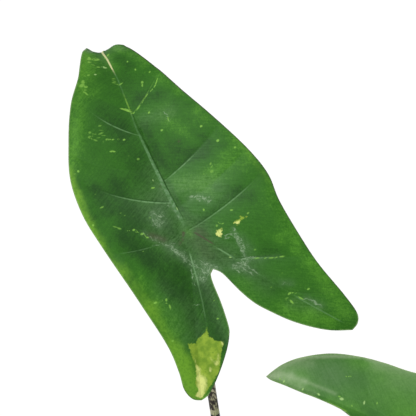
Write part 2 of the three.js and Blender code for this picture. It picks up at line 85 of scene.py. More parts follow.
# What a leaf's table holds. Places on the blade are (u, v).
#   junction, heading, pitch, roll: where the stalk meets the blade, and how it lies there
#   bend: (u, degrees that the midrib has turned down there)
#   fold: how far the blade rises beside its ribs, and over what reach
#   twist: degrees that the tip is twisted, and between which u
#   rows, columns: of the mesh, along midrib and lobe, outside and inside a lobe's rib
#   outer, inner: the margin from the tip to the lobe's end, and from the sinus to there
#   sinus, length: where the notch between the lobes ends, and the u of the tip
#   midrib, basal_ribs: the painted ribs, from the tip to the stalk and on into each lobe
#   stalk: its foot on the rhizome, the places that it passes, and the bands that the photo
#     shows on it: (how far along, half length, darkness, or paleness when negative)
#   veins: from the tip to the lobe, (start, end, how far it bows towards the stalk,
#     brightness, the share of its length where it fades, how much the panel on its stalk
#     side shines)
#   patches: outlines of cream and lime patches
#   dots, pale_dots: (u, v, half length, half width, degrees that it turns from v to u)
#   fibres: dried threads, (u, v, u, v, half width)
#   waves: (u, v, u, v, reach, height) in the blade itself
#   mottle, vein_share: weaken the ground's mottling and the general veins
# Every other list holds soft strokes of paint, (u, v, u, v, reach, amount): vein_light
# brightens veins, cream pales a patch, bloom greys the green and in places paints a sheen,
# dust is a dried film, the veil paints a pale highlight, flush is brown, flecks sow specks,
# rim darkens the margin, and the lighter and darker strokes also paint sheen and shade.
LEAF_1 = {
    "name": "leaf_1", "junction": (-60, 70, 509), "heading": 126.5, "pitch": 45.5, "roll": 34,
    "bend": [
        (-130, -28), (-60, -10), (0, 0), (60, 4), (110, 10), (150, 25), (174, 47), (193, 76), (212, 98),
        (236, 110),
    ],
    "fold": (15, 38), "twist": (22, 90, 190), "rows": (140, 96), "columns": (54, 24),
    "left": {
        "outer": [
            (236, 0), (212, -7), (190, -12.5), (180, -14.4), (170, -17.6), (156, -22.8), (144, -28.4),
            (126, -41.1), (103, -53), (74, -63.8), (44, -66.2), (13, -62.4), (-28, -55.3), (-68, -49.7),
            (-90, -50.4), (-104, -52.6), (-113.7, -50.2), (-118.4, -44.8),
        ],
        "inner": [
            (-35.5, 2.2), (-42.3, 0.8), (-58.8, -0.1), (-75.2, -2.3), (-81.5, -4.7), (-90.4, -11),
            (-103.6, -23.4), (-115.4, -37), (-118.4, -44.8),
        ],
    },
    "right": {
        "outer": [
            (236, 0), (212, 8.5), (190, 13.6), (179, 16), (166.8, 20.1), (130.4, 32), (98, 43.3),
            (61.2, 57.9), (32.7, 67.9), (10.9, 72.4), (-10, 71.3), (-39.7, 73.8), (-62.6, 77.2),
            (-89.9, 84.5), (-107, 87.8), (-115, 85.2), (-119, 79.5),
        ],
        "inner": [
            (-39.3, 10), (-56.8, 16.4), (-69.3, 22.6), (-80.4, 31.1), (-91.3, 40.6), (-101.8, 52.1),
            (-111, 64.5), (-119, 79.5),
        ],
    },
    "sinus": (-33.5, 5), "length": 236,
    "stalk": {
        "foot": (-1.5, 1.5), "foot_radius": 8.5, "path": [(-5, 6, 172), (-25, 27, 277), (-41.2, 45, 375)],
        "bands": [(254, 3, 0.05), (245, 3, 0.03), (239.4, 1.9, -0.4), (234.2, 2.6, 0.4)],
    },
    "midrib": [
        (236, 0), (178, -2.6), (171, -1.9), (164, -0.9), (152, -0.4), (140, 0.2), (122, -0.6), (108, -1.2),
        (92, -2.6), (40, -2.2), (20, -1.4), (0, 0),
    ],
    "basal_ribs": [
        [(0, 0), (-14, -5.6), (-35, -9), (-52, -12.5), (-68, -16.9), (-84.7, -26.5), (-114, -43.5)],
        [(0, 0), (-17, 12.5), (-37.7, 26.3), (-59.7, 39.7), (-80.3, 53.7), (-114, 78)],
    ],
    "veins": {
        "left": [
            ((184, -2), (200, -9), 1, 0.05, 1, 0), ((147, 0), (170, -16), 2, 0.06, 1, 0),
            ((107.5, -1.5), (138, -33), 0, 1, 0.2, 0.1), ((86, -3), (134, -36), 4.5, 0.35, 0.8, 0.15),
            ((55, -2.5), (92, -56), 6, 0.04, 1, 0.1), ((26, -2.5), (66, -56), 4.6, 0.7, 0.85, 0.35),
            ((0, -6), (8, -60), 3, 0.15, 0.9, 0), ((-30, -9), (-30, -55), 3, 0.06, 1, 0),
            ((-58, -15), (-72, -49), 3, 0.06, 1, 0),
        ],
        "right": [
            ((188, -2), (200, 10), 1, 0.05, 1, 0), ((148, 0), (165, 20), 2, 0.06, 1, 0),
            ((105.5, -1), (128, 33), 2.6, 0.28, 0.95, 0.25), ((76, -2), (98, 43), 4, 0.05, 1, 0.05),
            ((44, -1), (63, 57), 3, 0.5, 0.65, 0.55), ((21, 0), (36, 66), 4, 0.04, 1, 0.5),
            ((1.5, 2), (15, 71), 3, 0.5, 0.95, 0.3), ((-34.5, 25.5), (-55.5, 75.5), 0, 0.6, 0.6, 0.2),
            ((-70, 46), (-88, 83), 2, 0.06, 1, 0),
        ],
    },
    "vein_light": [
        (91, -11, 103, -23, 4, 0.45), (27, -8, 33, -20, 5, 0.4), (4, 28, 9, 48, 7, 0.25),
        (48, 12, 50, 22, 5, 0.3), (-17, -5.5, -37, -8.5, 3, 0.9), (-22.5, 15.5, -30.6, 20.5, 1.8, 0.9),
        (-44, -11, -60, -14, 3, 0.25), (-80, 54, -106, 74, 3, 0.45), (28, -8, 32, -16, 4, 0.4),
        (0.7, -33, 4.4, -50, 2, 0.3),
    ],
    "patches": [
        [
            (-68.3, -17), (-75.9, -19), (-81.2, -15.9), (-84.3, -10.4), (-89.5, -15), (-96.5, -19.3),
            (-102.3, -22.8), (-107.5, -30.1), (-113.4, -38.4), (-116.7, -44), (-112.3, -47.8),
            (-110.1, -43.2), (-104.3, -43.2), (-98.5, -39.8), (-91.3, -37.4), (-80.1, -36.2),
            (-74.7, -35.5), (-77.4, -30), (-74.8, -27.1), (-72.8, -19.7),
        ],
        [
            (-8.8, 19.5), (-8.6, 24), (-10.6, 23.6), (-11.6, 22.4), (-13.2, 22), (-15, 20.2), (-12.6, 19.4),
            (-11.2, 17.6), (-9.8, 18.6),
        ],
        [
            (-9.6, 33), (-8.8, 35.5), (-9, 38.5), (-7.2, 40), (-8.8, 41.8), (-10, 45), (-10.4, 42),
            (-10.4, 39.4), (-11.4, 37.6), (-12.8, 35.4), (-11.2, 35.2),
        ],
    ],
    "cream": [
        (-95, -37, -101, -39, 2.8, 0.8), (-105, -38, -115, -45, 4.8, 1), (-84, -12, -86, -12.5, 1.4, 0.8),
        (-91, -18, -97, -22, 1.6, 0.6), (-92, -25, -96, -23, 2.2, 0.4), (-98, -28, -100, -29, 1.4, 0.7),
        (-86, -35.5, -93, -37, 1.2, 0.45), (-78, -24, -104, -28, 5, 0.1), (-12, 20, -13, 22, 5, 1),
        (-10.5, 34.5, -11, 37, 2, 1),
    ],
    "dots": [
        (164.2, -13.6, 1.6, 1.1, 40), (162.7, -8.6, 2.1, 0.7, 5), (165.6, -13.4, 1.2, 0.7, 60),
        (159.9, -14.6, 1, 0.7, 0), (154.4, -9.6, 1.2, 0.6, 0), (146.8, -18.8, 1.1, 0.5, 0),
        (142, -24.9, 1.5, 1, 50), (139, -26.8, 1.9, 1.1, 10), (137, -24.2, 1.2, 0.7, 0),
        (133.6, -27.2, 0.9, 0.5, -20), (131.8, -26.2, 1.2, 0.5, -60), (170.5, 1, 1.7, 0.9, 50),
        (151.4, 13, 0.8, 0.6, 90), (139, 16, 0.9, 0.6, 90), (124.6, 16.6, 1.1, 0.9, 90),
        (121.8, 15.5, 0.8, 0.6, 90), (130.1, 25.3, 0.9, 0.6, 40), (136.8, -3.4, 1.4, 0.4, 0),
        (140.6, -2.6, 1.1, 0.4, 0), (133.6, 0.8, 1.8, 0.5, 10), (98.2, 11.5, 0.8, 0.6, 0),
        (-76.3, 62.5, 1, 0.6, 10), (-44.3, 47.7, 1.7, 0.45, -20), (-46.8, 55.1, 1.9, 0.5, -18),
        (-39.9, 38.1, 1.8, 0.5, -22), (103.9, -27, 1.1, 0.6, 0), (101.6, -35.9, 0.9, 0.8, 0),
        (98, -38, 1, 0.5, -50), (97.8, -28.6, 1.7, 0.6, 5), (94.2, -34.4, 1.5, 0.6, -45),
        (91.5, -26.4, 0.8, 0.7, 0), (89.6, -22.2, 0.9, 0.5, 0), (86.4, -14.6, 0.9, 0.7, 0),
        (81, -27, 1.1, 0.6, -10), (80, -25, 1, 0.5, -25), (85.6, 22.6, 1.6, 0.35, 75),
        (98.6, 11.4, 0.8, 0.6, 0), (80.5, 14.6, 1, 0.7, -10), (76.4, -55.8, 0.9, 0.7, 90),
        (67.6, -10.9, 1, 0.8, 0), (67.5, 42.8, 0.9, 0.8, 0), (51.4, 49.4, 1.1, 0.9, 0),
        (40.6, 58.8, 0.8, 0.7, 0), (38, 37, 0.9, 0.6, 30), (32.4, 35.4, 1.2, 0.9, 0),
        (42, -10, 1.2, 0.6, -10), (43, -50.6, 1.3, 0.5, 0), (25.4, -48, 1.1, 0.4, -40),
        (22.6, -45.2, 1.3, 0.6, -40), (17.4, -36, 0.9, 0.7, 0), (12.2, -31.6, 1.1, 0.7, 0),
        (8.2, -29.2, 1, 0.5, -30), (33, -62, 0.8, 0.6, 90), (9.6, 17.6, 0.9, 0.6, 80),
        (-0.4, 36.2, 1.1, 0.5, -20), (-5.6, 21.4, 0.8, 0.7, 90), (-6.2, 26, 0.9, 0.4, -10),
        (-8, 46.2, 1, 0.5, 10), (-38, -44, 1.2, 0.7, 0), (-39, -35.8, 0.7, 0.6, 0),
        (-45, -35.6, 1.6, 0.6, 80), (-68, -44.5, 0.8, 0.6, 0), (-67.4, -7.4, 0.7, 0.5, 0),
        (-33.8, 39.4, 0.7, 0.5, 0), (-73.6, 48.6, 1.3, 0.7, 10), (-79.7, 47.4, 1.7, 0.7, 110),
        (-80.2, 54.7, 2, 0.5, -55), (107.2, 5.6, 2.2, 0.6, 25), (112.3, 15.2, 1.9, 0.45, 28),
        (116, 24.2, 1.5, 0.45, 38), (109.6, 10.6, 1.6, 0.3, 28), (119.9, 27.8, 1.7, 0.4, 45),
        (109.9, -3.1, 2.2, 0.8, -45), (112, -6.4, 1.6, 0.4, -35), (164, -7.4, 0.9, 0.5, 0),
    ],
    "pale_dots": [
        (153.6, -5, 1.1, 0.6, -10), (155, -6.6, 0.9, 0.35, 10), (146.6, -13.9, 0.8, 0.6, -10),
        (-30.6, 20.4, 0.9, 0.35, -35), (20.2, -0.2, 1.2, 0.35, 90), (-10.8, 21.4, 1.4, 0.8, 60),
        (47.6, -7.6, 0.7, 0.3, 90),
    ],
    "fibres": [
        (-35.6, 26.5, -36.6, 32, 0.5), (-37, 33, -39.6, 39, 0.4), (-36.6, 26, -44, 30, 0.4),
        (-44.6, 30.6, -50.5, 34, 0.3), (-37.6, 19.5, -39.6, 23.4, 0.6), (-39, 24, -45.5, 27, 0.5),
        (-41, 20.5, -44, 22.3, 0.4), (-46.5, 27.5, -50, 30, 0.35), (-36.4, 22, -37.6, 26, 0.4),
        (-13.2, 31.6, -17, 31.2, 0.5), (-18, 30.4, -22.5, 30.6, 0.55), (-23.4, 30.2, -28, 30.8, 0.6),
        (-29, 30.2, -34.6, 30.6, 0.55), (-20, 32.6, -23, 33.4, 0.35), (-25, 33, -30, 33.4, 0.35),
        (-14.5, 23, -15.5, 28, 0.3), (-17, 22.5, -18, 26, 0.25), (0.9, -27.3, -1.3, -18, 0.35),
        (-1, -20, -5.7, -15.5, 0.6), (-6.5, -15, -12, -12.5, 0.7), (-4, -18.6, -9.5, -15, 0.35),
        (-10, -14.6, -17.8, -10.5, 0.5), (9, -28.6, 3, -24, 0.4), (11.8, -32.6, 13, -30, 0.5),
        (-36.5, -8.5, -36, -2.5, 0.4), (-37.6, -2.3, -30, 4, 0.35), (-24, -6, -33, -1, 0.3),
        (-22, -2, -30, 3, 0.25), (-26, -10, -34, -12, 0.35), (24, -18.6, 20, -15, 0.35),
        (20.6, -19.4, 15.6, -20.6, 0.35), (19.6, -16.4, 18, -12.4, 0.35), (21.6, -12.6, 16.6, -10.6, 0.35),
        (16.4, -18.4, 12.6, -16.6, 0.3), (14.4, -20.6, 12, -17.4, 0.3), (23.6, 11.5, 22.1, 15.5, 0.5),
        (21, 17, 18.6, 21, 0.5), (18.4, 21.4, 14.2, 23.8, 0.6), (14, 24.6, 12.2, 22, 0.45),
        (19.4, 15.6, 16.6, 18.6, 0.35), (-81, 56, -84, 60.3, 0.4), (-84, 60.6, -91.4, 65.4, 0.5),
        (92.4, 21.6, 88.6, 23.4, 0.3), (86.4, 22, 83.6, 22.8, 0.35), (-51, -20, -52.5, -15.4, 0.3),
    ],
    # lighter: lighter green, and painted sheen on the panels below the side veins
    "lighter": [
        (36, 8, 27, 30, 10, 0.4), (24, 26, 20, 38, 7, 0.22), (150, -22, 96, -50, 8, 0.45),
        (60, 60, 30, 67, 5, 0.35), (0, 66, -40, 70, 8, 0.25), (-60, 74, -104, 80, 8, 0.45),
        (-52, 22, -96, 50, 8, 0.35), (178, -13, 160, -18, 6, 0.4), (176, -3, 150, 3, 5, 0.4),
        (176, 10, 140, 26, 6, 0.35), (1, 1, -2, 1, 3, 0.8), (40, 52, 28, 40, 7, 0.25),
        (-78, 22, -90, 34, 5, 0.3), (-38, -44, -70, -44, 6, 0.3), (122, 30, 84, 43, 7, 0.4),
        (46, 46, 26, 60, 8, 0.25), (176, -13, 150, -16, 7, 0.3), (84, 22, 66, 32, 6, 0.35),
        (80, 45, 72, 49, 4, 0.4), (-42, 68, -58, 70, 4, 0.2), (-34, 58, -46, 64, 5, 0.4),
        (-93, 56, -106, 66, 6, 0.55), (-92, -48, -108, -50, 6, 0.4), (174, 10, 166, 12, 4, 0.35),
        (-4, -45, -24, -46, 4, 0.35), (100, 12, 96, 28, 6, 0.2), (34, 34, 30, 50, 4, 0.35),
        (134, -16, 128, -22, 5, 0.35), (64, -26, 62, -40, 5, 0.3), (90, -56, 82, -60, 4, 0.5),
        (-20, -36, -66, -38, 6, 0.22),
    ],
    # darker: darker green, and painted shade beside the midrib and on the side veins' tip sides
    "darker": [
        (-6, -34, -36, -30, 8, 0.7), (-38, -22, -76, -24, 7, 0.5), (58, -50, 44, -46, 6, 0.65),
        (38, -60, 34, -26, 4, 0.35), (50, 6, 48, 40, 4, 0.4), (14, 4, 10, 5, 4, 0.3),
        (42, 1.8, 18, 3.2, 2.2, 0.6), (54, 42, 46, 50, 4, 0.5), (-12, -22, -32, -19, 5, 0.4),
        (60, -34, 22, -34, 9, 0.65), (55, 6, 64, 20, 7, 0.3), (90, 4, 60, 4, 5, 0.45),
        (100, -14, 30, -12, 12, 0.3), (97, -10, 90, -14, 5, 0.35), (16, -44, 0, -40, 8, 0.6),
        (3, 12, 12, 48, 3.5, 0.4), (6, 44, 2, 54, 5, 0.45), (66, 36, 60, 42, 4, 0.4),
        (52, 24, 46, 40, 4, 0.35), (58, 24, 50, 36, 6, 0.3), (95, 34, 88, 42, 6, 0.4),
        (114, 8, 106, 28, 7, 0.45), (160, 8, 146, 14, 6, 0.45), (144, 4, 130, 6, 6, 0.25),
        (128, 20, 122, 26, 4, 0.2), (88, -14, 60, -12, 10, 0.2), (180, -6, 174, -5, 3, 0.8),
        (-4, 6, -30, 8, 10, 0.5), (10, -12, -20, -12, 10, 0.45), (-42, -8, -84, -14, 8, 0.65),
        (120, -22, 100, -14, 8, 0.3), (-40, 46, -42, 60, 6, 0.35), (28, -26, 10, -26, 8, 0.3),
        (20, 34, 16, 40, 4, 0.45), (-26, 20, -66, 38, 7, 0.4), (30, -12, 8, -14, 7, 0.35),
    ],
    "lime": [
        (140, -33, 80, -62, 9, 0.2), (78, -64, 58, -66, 5, 0.8), (58, -66, 20, -65, 6, 0.75),
        (18, -64, -8, -60, 6, 0.45), (-8, -57, -40, -49, 8, 0.43), (-40, -49, -74, -46, 6, 0.5),
        (-74, -45, -84, -45, 6, 0.65), (-88, -46, -118, -48, 9, 1), (46, 64, 0, 71, 4, 0.3),
        (-96, 80, -112, 82, 8, 0.1), (170, -15, 150, -22, 4, 0.3), (-62, 74, -84, 80, 4, 0.15),
    ],
    # bloom: a grey bloom, and painted sheen on the panels below the side veins
    "bloom": [
        (34, -18, -4, -14, 11, 0.4), (36, 5, 24, 30, 9, 0.55), (6, 4, -28, 10, 13, 0.5),
        (96, 6, 90, 26, 6, 0.35), (-48, -24, -76, -26, 7, 0.2), (56, -4, 28, -8, 7, 0.3),
        (-40, -3, -84, -6, 6, 0.35), (-28, 22, -58, 34, 10, 0.25), (182, 6, 174, 12, 5, 0.6),
        (-80, 48, -92, 64, 6, 0.3), (-30, -36, -74, -36, 8, 0.2), (178, -4, 162, -2, 5, 0.35),
        (14, 30, 8, 36, 7, 0.2),
    ],
    "dust": [
        (22, -19, 14, -17, 4, 0.7), (24, -13, 15, -12, 4, 0.4), (12, -30, 4, -24, 3, 0.4),
        (4, -22, -4, -18, 3.2, 0.5), (-5, -17, -16, -11, 3.6, 0.6), (-15, -11, -24, -9, 3.5, 0.4),
        (-24, -6, -33, -8, 4, 0.5), (-27, 0, -33, 4, 4.5, 0.75), (-33, -2, -36, -5, 4, 0.75),
        (-32, 3, -35, 9, 2.6, 0.6), (22, 11, 21, 18, 3, 0.42), (19, 20, 13, 24, 4, 0.42),
        (-13, 31.4, -35, 30.6, 1.8, 0.65), (-22, 34, -32, 36, 4, 0.4), (-38, 20, -42, 26, 4, 0.6),
        (-39, 31, -43, 40, 3, 0.3), (-42, 26, -48, 30, 4, 0.45), (-36, 27, -46, 54, 1.6, 0.35),
        (-82, 59, -92, 65.5, 2.4, 0.45), (-64, 47, -67, 53, 3, 0.42), (-96, 26, -108, 50, 5, 0.25),
        (42, -5, 30, -5, 3, 0.35), (36, -7, 24, -8, 4, 0.2), (26, -4, 14, -2, 2, 0.5),
    ],
    "flush": [
        (1.2, -3.4, 0.4, -4.2, 1.3, 1), (-2.6, -5.6, -3.2, -6.2, 1, 0.8),
        (-4.4, -8.4, -5.4, -9.6, 1.3, 0.65), (-2.2, 4.4, -16, 13, 0.5, 1), (-1, 7, -8, 12, 2.6, 0.3),
        (8.6, -26, 2, -19, 3.6, 0.6), (-6, 4, -22, 6, 8, 0.35), (65.4, 22.4, 66, 23, 0.9, 0.9),
        (41, -4.8, 41.5, -4.4, 0.8, 0.8),
    ],
    "flecks": [
        (165, -10, 140, -22, 12, 0.9), (110, -25, 80, -22, 14, 0.3), (60, -45, 20, -45, 12, 0.5),
        (-40, -45, -70, -46, 10, 0.4), (120, 12, 90, 10, 12, 0.4), (60, 40, 20, 40, 14, 0.35),
        (-60, 50, -90, 60, 14, 0.4),
    ],
    "rim": [
        (178, 16, 100, 43, 3, 1), (181, -9, 180, -2, 2.5, 1), (100, 43, 60, 58, 3, 0.7),
        (60, 58, 30, 69, 3, 0.7), (30, 69, -10, 72, 3, 0.7), (-10, 72, -50, 76, 3, 0.7),
        (-84, -8, -112, -34, 3, 0.6), (-46, 14, -112, 68, 2.5, 0.35), (-50, 76, -104, 88, 2.5, 0.7),
        (-104, -53, -118, -46, 2.5, 0.5),
    ],
    "waves": [
        (195.6, -7.1, 182.5, -5.9, 4.1, -4.5), (184.1, -12.1, 178.7, -11, 4.3, -1.6),
        (188, 2.4, 179.5, 11.1, 4.6, 2.5), (195.5, 1.8, 188.5, 5.6, 5.6, -3), (126, 33, 122, 35, 5, 0.7),
        (104, 41, 100, 42, 5, -0.6), (84, 49, 78, 51, 6, 0.7), (44, -66, 36, -66, 7, 0.8),
        (12, -62, 4, -61, 6, -0.7), (-40, -54, -46, -53, 6, 0.8),
    ],
}

LEAF_2 = {
    "name": "leaf_2", "junction": (104, -27, 389), "heading": -10, "pitch": -5, "roll": -28,
    "bend": [(-120, -25), (-50, -8), (0, 0), (60, 12), (120, 32), (180, 55), (220, 68)], "fold": (12, 38),
    "twist": (0, 90, 190), "rows": (120, 84), "columns": (40, 20),
    "left": {
        "outer": [
            (220, 0), (198, -7), (168, -15), (134, -26), (100, -38), (64, -47), (28, -51), (-5, -51.2),
            (-28, -55.8), (-47, -59.2), (-69, -60.8), (-92.5, -57.6), (-105.5, -53.4), (-113.6, -48.8),
            (-119.2, -45),
        ],
        "inner": [
            (-33, -4), (-40, -6.5), (-48.3, -11.2), (-55.6, -16.6), (-74.7, -24.7), (-87.6, -29.4),
            (-101.6, -35.6), (-113.6, -40.9), (-119.2, -45),
        ],
    },
    "right": {
        "outer": [
            (220, 0), (198, 7), (168, 15), (134, 26), (100, 38), (64, 49), (32, 55), (-5, 57.5), (-35, 60),
            (-62, 63), (-85, 64), (-105, 60), (-116, 51),
        ],
        "inner": [(-33, 4), (-45, 11), (-58, 17.5), (-78, 26), (-96, 35.5), (-110, 45), (-116, 51)],
    },
    "sinus": (-29.5, 0), "length": 220, "midrib": [(220, 0), (0, 0)],
    "stalk": {
        "foot": (4, -1.5), "foot_radius": 10.5, "path": [(8, -2, 185), (34, -8, 268), (72, -18, 342)],
    },
    "basal_ribs": [
        [(0, 0), (-27.2, -17.4), (-50.2, -26.8), (-73.7, -34.2), (-90, -40), (-113, -44)],
        [(0, 0), (-30, 16), (-60, 30), (-90, 42), (-112, 50)],
    ],
    "patches": [
        [
            (60, 49), (66, 38), (80, 30), (96, 27), (108, 20), (118, 22), (124, 29), (112, 35), (100, 40),
            (88, 44), (72, 48),
        ],
        [(20, -8), (24, -14), (30, -12), (27, -7)],
    ],
    "cream": [(70, 46, 112, 26, 6, 1)],
    "dots": [
        (-106.7, -41.6, 0.8, 0.4, 40), (-58.6, -27, 1, 0.5, 80), (-48.4, -20.4, 0.7, 0.4, 20),
        (-30.5, -23.8, 0.8, 0.4, 0), (-55.2, -42.2, 0.5, 0.3, 50), (-51.8, -42.4, 0.5, 0.3, 50),
        (12, -16, 1.2, 0.72, 10), (44, -21, 1.3, 0.78, 30), (90, 12, 1.2, 0.72, 50),
        (46, 26, 1.1, 0.66, -30),
    ],
    "pale_dots": [
        (-103.3, -39.3, 1, 0.7, -30), (-87.3, -32.4, 1, 0.6, -10), (-74.5, -28.4, 1.1, 0.6, 60),
        (-56.6, -25.2, 1.5, 0.9, 80), (-39.8, -23.2, 1.3, 0.6, -5),
    ],
    "lighter": [
        (0, -40, -50, -46, 18, 0.3), (-66, -24, -40, -17, 4, 0.35), (-6, -48, -50, -55, 7, 0.3),
        (10, -22, -60, -36, 16, 0.22), (-80, -40, -110, -44, 12, 0.6), (0, -10, 60, -30, 24, 0.5),
        (60, 30, -60, 40, 22, 0.45),
    ],
    "darker": [
        (-76, -41, -46, -40, 8, 0.35), (-40, -19, -30, -15, 2.5, 0.2), (-78, -47, -62, -48, 7, 0.15),
        (120, -12, 60, -20, 20, 0.3),
    ],
    "lime": [(100, -34, 40, -50, 6, 0.5), (-40, 58, -90, 62, 7, 0.6), (-52, -15.6, -66, -21.6, 0.9, 1)],
    # bloom: a grey bloom, and painted sheen over the lobe's left end
    "bloom": [(-112, -46, -70, -46, 15, 0.65), (-60, -40, 20, -36, 22, 0.4)],
    "dust": [(4, 0, -20, 0, 10, 0.4)],
    # veil: a painted pale highlight beside the lobe's rib and along the left margin
    "highlight_veil": [
        (-119, -45, -109, -45.5, 4, 0.9), (-112, -44.8, -98, -43, 3.2, 0.7), (-98, -42, -86, -38, 2.5, 0.6),
        (-86, -38, -62, -29, 1.4, 0.35), (-104, -40, -90, -34, 3, 0.35), (-90, -34, -78, -29, 3, 0.2),
        (-96, -57.4, -40, -59.4, 1.8, 0.65), (-40, -58, 10, -51.6, 2.4, 0.7),
        (-110, -50, -90, -57, 2.4, 0.5), (-104, -51, -84, -53, 5, 0.3), (-34, -53, 6, -49, 5, 0.35),
        (-20, -42, 10, -42, 7, 0.12),
    ],
    "flush": [
        (0, 0, -14, -8, 2.5, 0.8), (0, 0, -14, 8, 2.5, 0.8), (-104, -54, -50, -59.8, 1, 0.25),
        (-50, -59.8, 0, -52, 1, 0.25),
    ],
    "flecks": [(-40, -30, -90, -38, 12, 0.7), (60, -20, 0, -20, 16, 0.7), (120, 10, 20, 30, 20, 0.7)],
    "mottle": 0.5, "vein_share": 0.35,
}

GENERAL_LENGTH = 236
GENERAL_SIDE = {
    "outer": [
        (236, 0), (212, 8.5), (180, 17.5), (144, 30), (108, 44), (70, 60), (36, 69), (4, 72),
        (-30, 71.5), (-62, 73), (-92, 77), (-110, 75), (-118, 66),
    ],
    "inner": [(-39, 5), (-52, 11), (-70, 18), (-90, 31), (-106, 45), (-115, 57), (-118, 66)],
}
# Where the veins of the general leaf start and reach the margin, as shares of its length,
# with a bow and a brightness.
GENERAL_VEINS = [
    (0.78, 0.86, 0.01, 0.2), (0.6, 0.7, 0.02, 0.3), (0.42, 0.54, 0.025, 0.5),
    (0.22, 0.36, 0.025, 0.6), (0.02, 0.08, 0.015, 0.6), (-0.14, -0.2, 0.01, 0.3),
    (-0.26, -0.34, 0.01, 0.2),
]


def mirrored(points):
    """The same places on the leaf's left side."""
    return [(u, -v) for u, v in points]


def general_leaf(share, basal_rib, **own):
    """A leaf of the general form at a share of its size, with a heading and marks of its own."""
    right = {part: np.array(points) * share for part, points in GENERAL_SIDE.items()}
    left = {part: points * (1, -1) for part, points in right.items()}
    length = GENERAL_LENGTH * share
    return {
        "left": left, "right": right, "sinus": (-34 * share, 0), "length": length,
        "midrib": [(length, 0), (0, 0)], "basal_ribs": [mirrored(basal_rib), basal_rib],
        "twist": (0, 90, 190), **own,
    }


LEAF_3 = general_leaf(
    0.78, [(0, 0), (-25, 12.5), (-50, 26), (-72, 40), (-89, 50)], name="leaf_3",
    junction=(-92, -62, 296), heading=217, pitch=-16, roll=8,
    bend=[(-100, -24), (-45, -8), (0, 0), (50, 13), (100, 34), (150, 58), (184, 72)],
    fold=(10, 32), rows=(104, 74), columns=(42, 20),
    stalk={
        "foot": (-4.5, -4.5), "foot_radius": 11.5,
        "path": [(-10, -8, 180), (-34, -24, 235), (-68, -46, 280)],
    },
    patches=[
        [(-30, -28), (-42, -30), (-56, -34), (-64, -42), (-70, -54), (-60, -56), (-48, -50),
         (-38, -44), (-33, -36)],
        [(92, 6), (101, 5), (106, 11), (98, 15), (90, 12)],
    ],
    cream=[(-40, -40, -66, -54, 7, 1), (96, 8, 100, 12, 5, 0.8)],
    dots=[
        (70, -14, 1.3, 0.78, -30), (58, 20, 1.2, 0.72, -10), (30, -26, 1.3, 0.78, 10),
        (12, 30, 1.2, 0.72, 30), (-34, 20, 1.2, 0.72, 50), (88, -8, 1, 0.6, -30),
        (46, 34, 1, 0.6, -10), (110, 9, 1, 0.6, 10),
    ],
    lighter=[(100, 16, -60, 52, 18, 0.5), (90, -18, 10, -40, 12, 0.3)],
    darker=[(50, -10, -50, -26, 10, 0.4)],
    lime=[(110, -30, 0, -56, 6, 0.6), (0, 56, -80, 58, 6, 0.5)],
    dust=[(4, 0, -22, 0, 10, 0.5), (20, 12, 10, 24, 6, 0.4)],
    flush=[(0, 0, -12, -7, 2.5, 0.8), (0, 0, -12, 7, 2.5, 0.8)],
    flecks=[(110, -8, 20, -20, 18, 0.8), (80, 12, -40, 30, 18, 0.7)],
)

LEAF_4 = general_leaf(
    0.64, [(0, 0), (-20, 10), (-41, 21), (-59, 33), (-73, 41)], name="leaf_4",
    junction=(62, 96, 262), heading=55, pitch=-22, roll=-8,
    bend=[(-80, -22), (-40, -8), (0, 0), (40, 13), (80, 34), (120, 60), (151, 76)],
    fold=(8, 28), rows=(92, 64), columns=(36, 18),
    stalk={
        "foot": (3.5, 5), "foot_radius": 12,
        "path": [(7, 12, 172), (26, 42, 216), (48, 76, 250)],
    },
    patches=[
        [(24, 4), (36, 9), (44, 20), (47, 36), (40, 41), (36, 28), (28, 18), (22, 10)],
    ],
    cream=[(30, 12, 44, 36, 6, 1)],
    dots=[
        (60, -10, 1.2, 0.72, -30), (40, -18, 1.1, 0.66, -10), (10, -28, 1.3, 0.78, 10),
        (-20, -34, 1.1, 0.66, 30), (70, 10, 1, 0.6, 50), (-10, 30, 1.2, 0.72, -30),
        (82, -6, 0.9, 0.54, -10),
    ],
    lighter=[(80, 12, -50, 44, 14, 0.5)], darker=[(40, -8, -40, -22, 8, 0.4)],
    lime=[(90, -24, 0, -46, 6, 0.7), (0, 46, -66, 47, 6, 0.6)], dust=[(4, 0, -20, 0, 9, 0.5)],
    flush=[(0, 0, -10, -6, 2.2, 0.8), (0, 0, -10, 6, 2.2, 0.8)],
    flecks=[(90, -8, 10, -20, 16, 0.8), (60, 12, -30, 24, 16, 0.7)],
)

# Lists of soft strokes; a leaf without such a list has none of it.
PAINTED = ("vein_light", "cream", "lighter", "darker", "lime", "bloom", "dust", "highlight_veil", "flush",
           "flecks", "rim")

# Loose lumps on the soil. sizes are radii, and shapes are a random seed, subdivisions and
# roughness. Lumps flatter than this lie nearly level.
LYING = 0.5
LUMPS = {
    "soil_crumbs": {
        "skin": "crumb_skin", "seed": 31, "count": 2400, "sizes": (0.6, 1.9), "flatness": 0.8,
        "shapes": (40, 1, 0.2),
    },
    "soil_clods": {
        "skin": "crumb_skin", "seed": 32, "count": 420, "sizes": (1.6, 4.2), "flatness": 0.75,
        "shapes": (50, 2, 0.16),
    },
    "bark_chips": {
        "skin": "bark_skin", "seed": 33, "count": 110, "sizes": (3.5, 8.0), "flatness": 0.22,
        "shapes": (60, 2, 0.2),
    },
    "perlite_grains": {
        "skin": "perlite_skin", "seed": 34, "count": 150, "sizes": (0.9, 2.4),
        "flatness": 0.85, "shapes": (70, 2, 0.12),
    },
}


# Curves and fields

def blend(start, end, share):
    """What lies a share of the way from start to end."""
    return start + (end - start) * share


def smoothstep(start, end, x):
    """0 before start, 1 after end, smooth in between."""
    share = np.clip((x - start) / (end - start), 0, 1)
    return share * share * (3 - 2 * share)


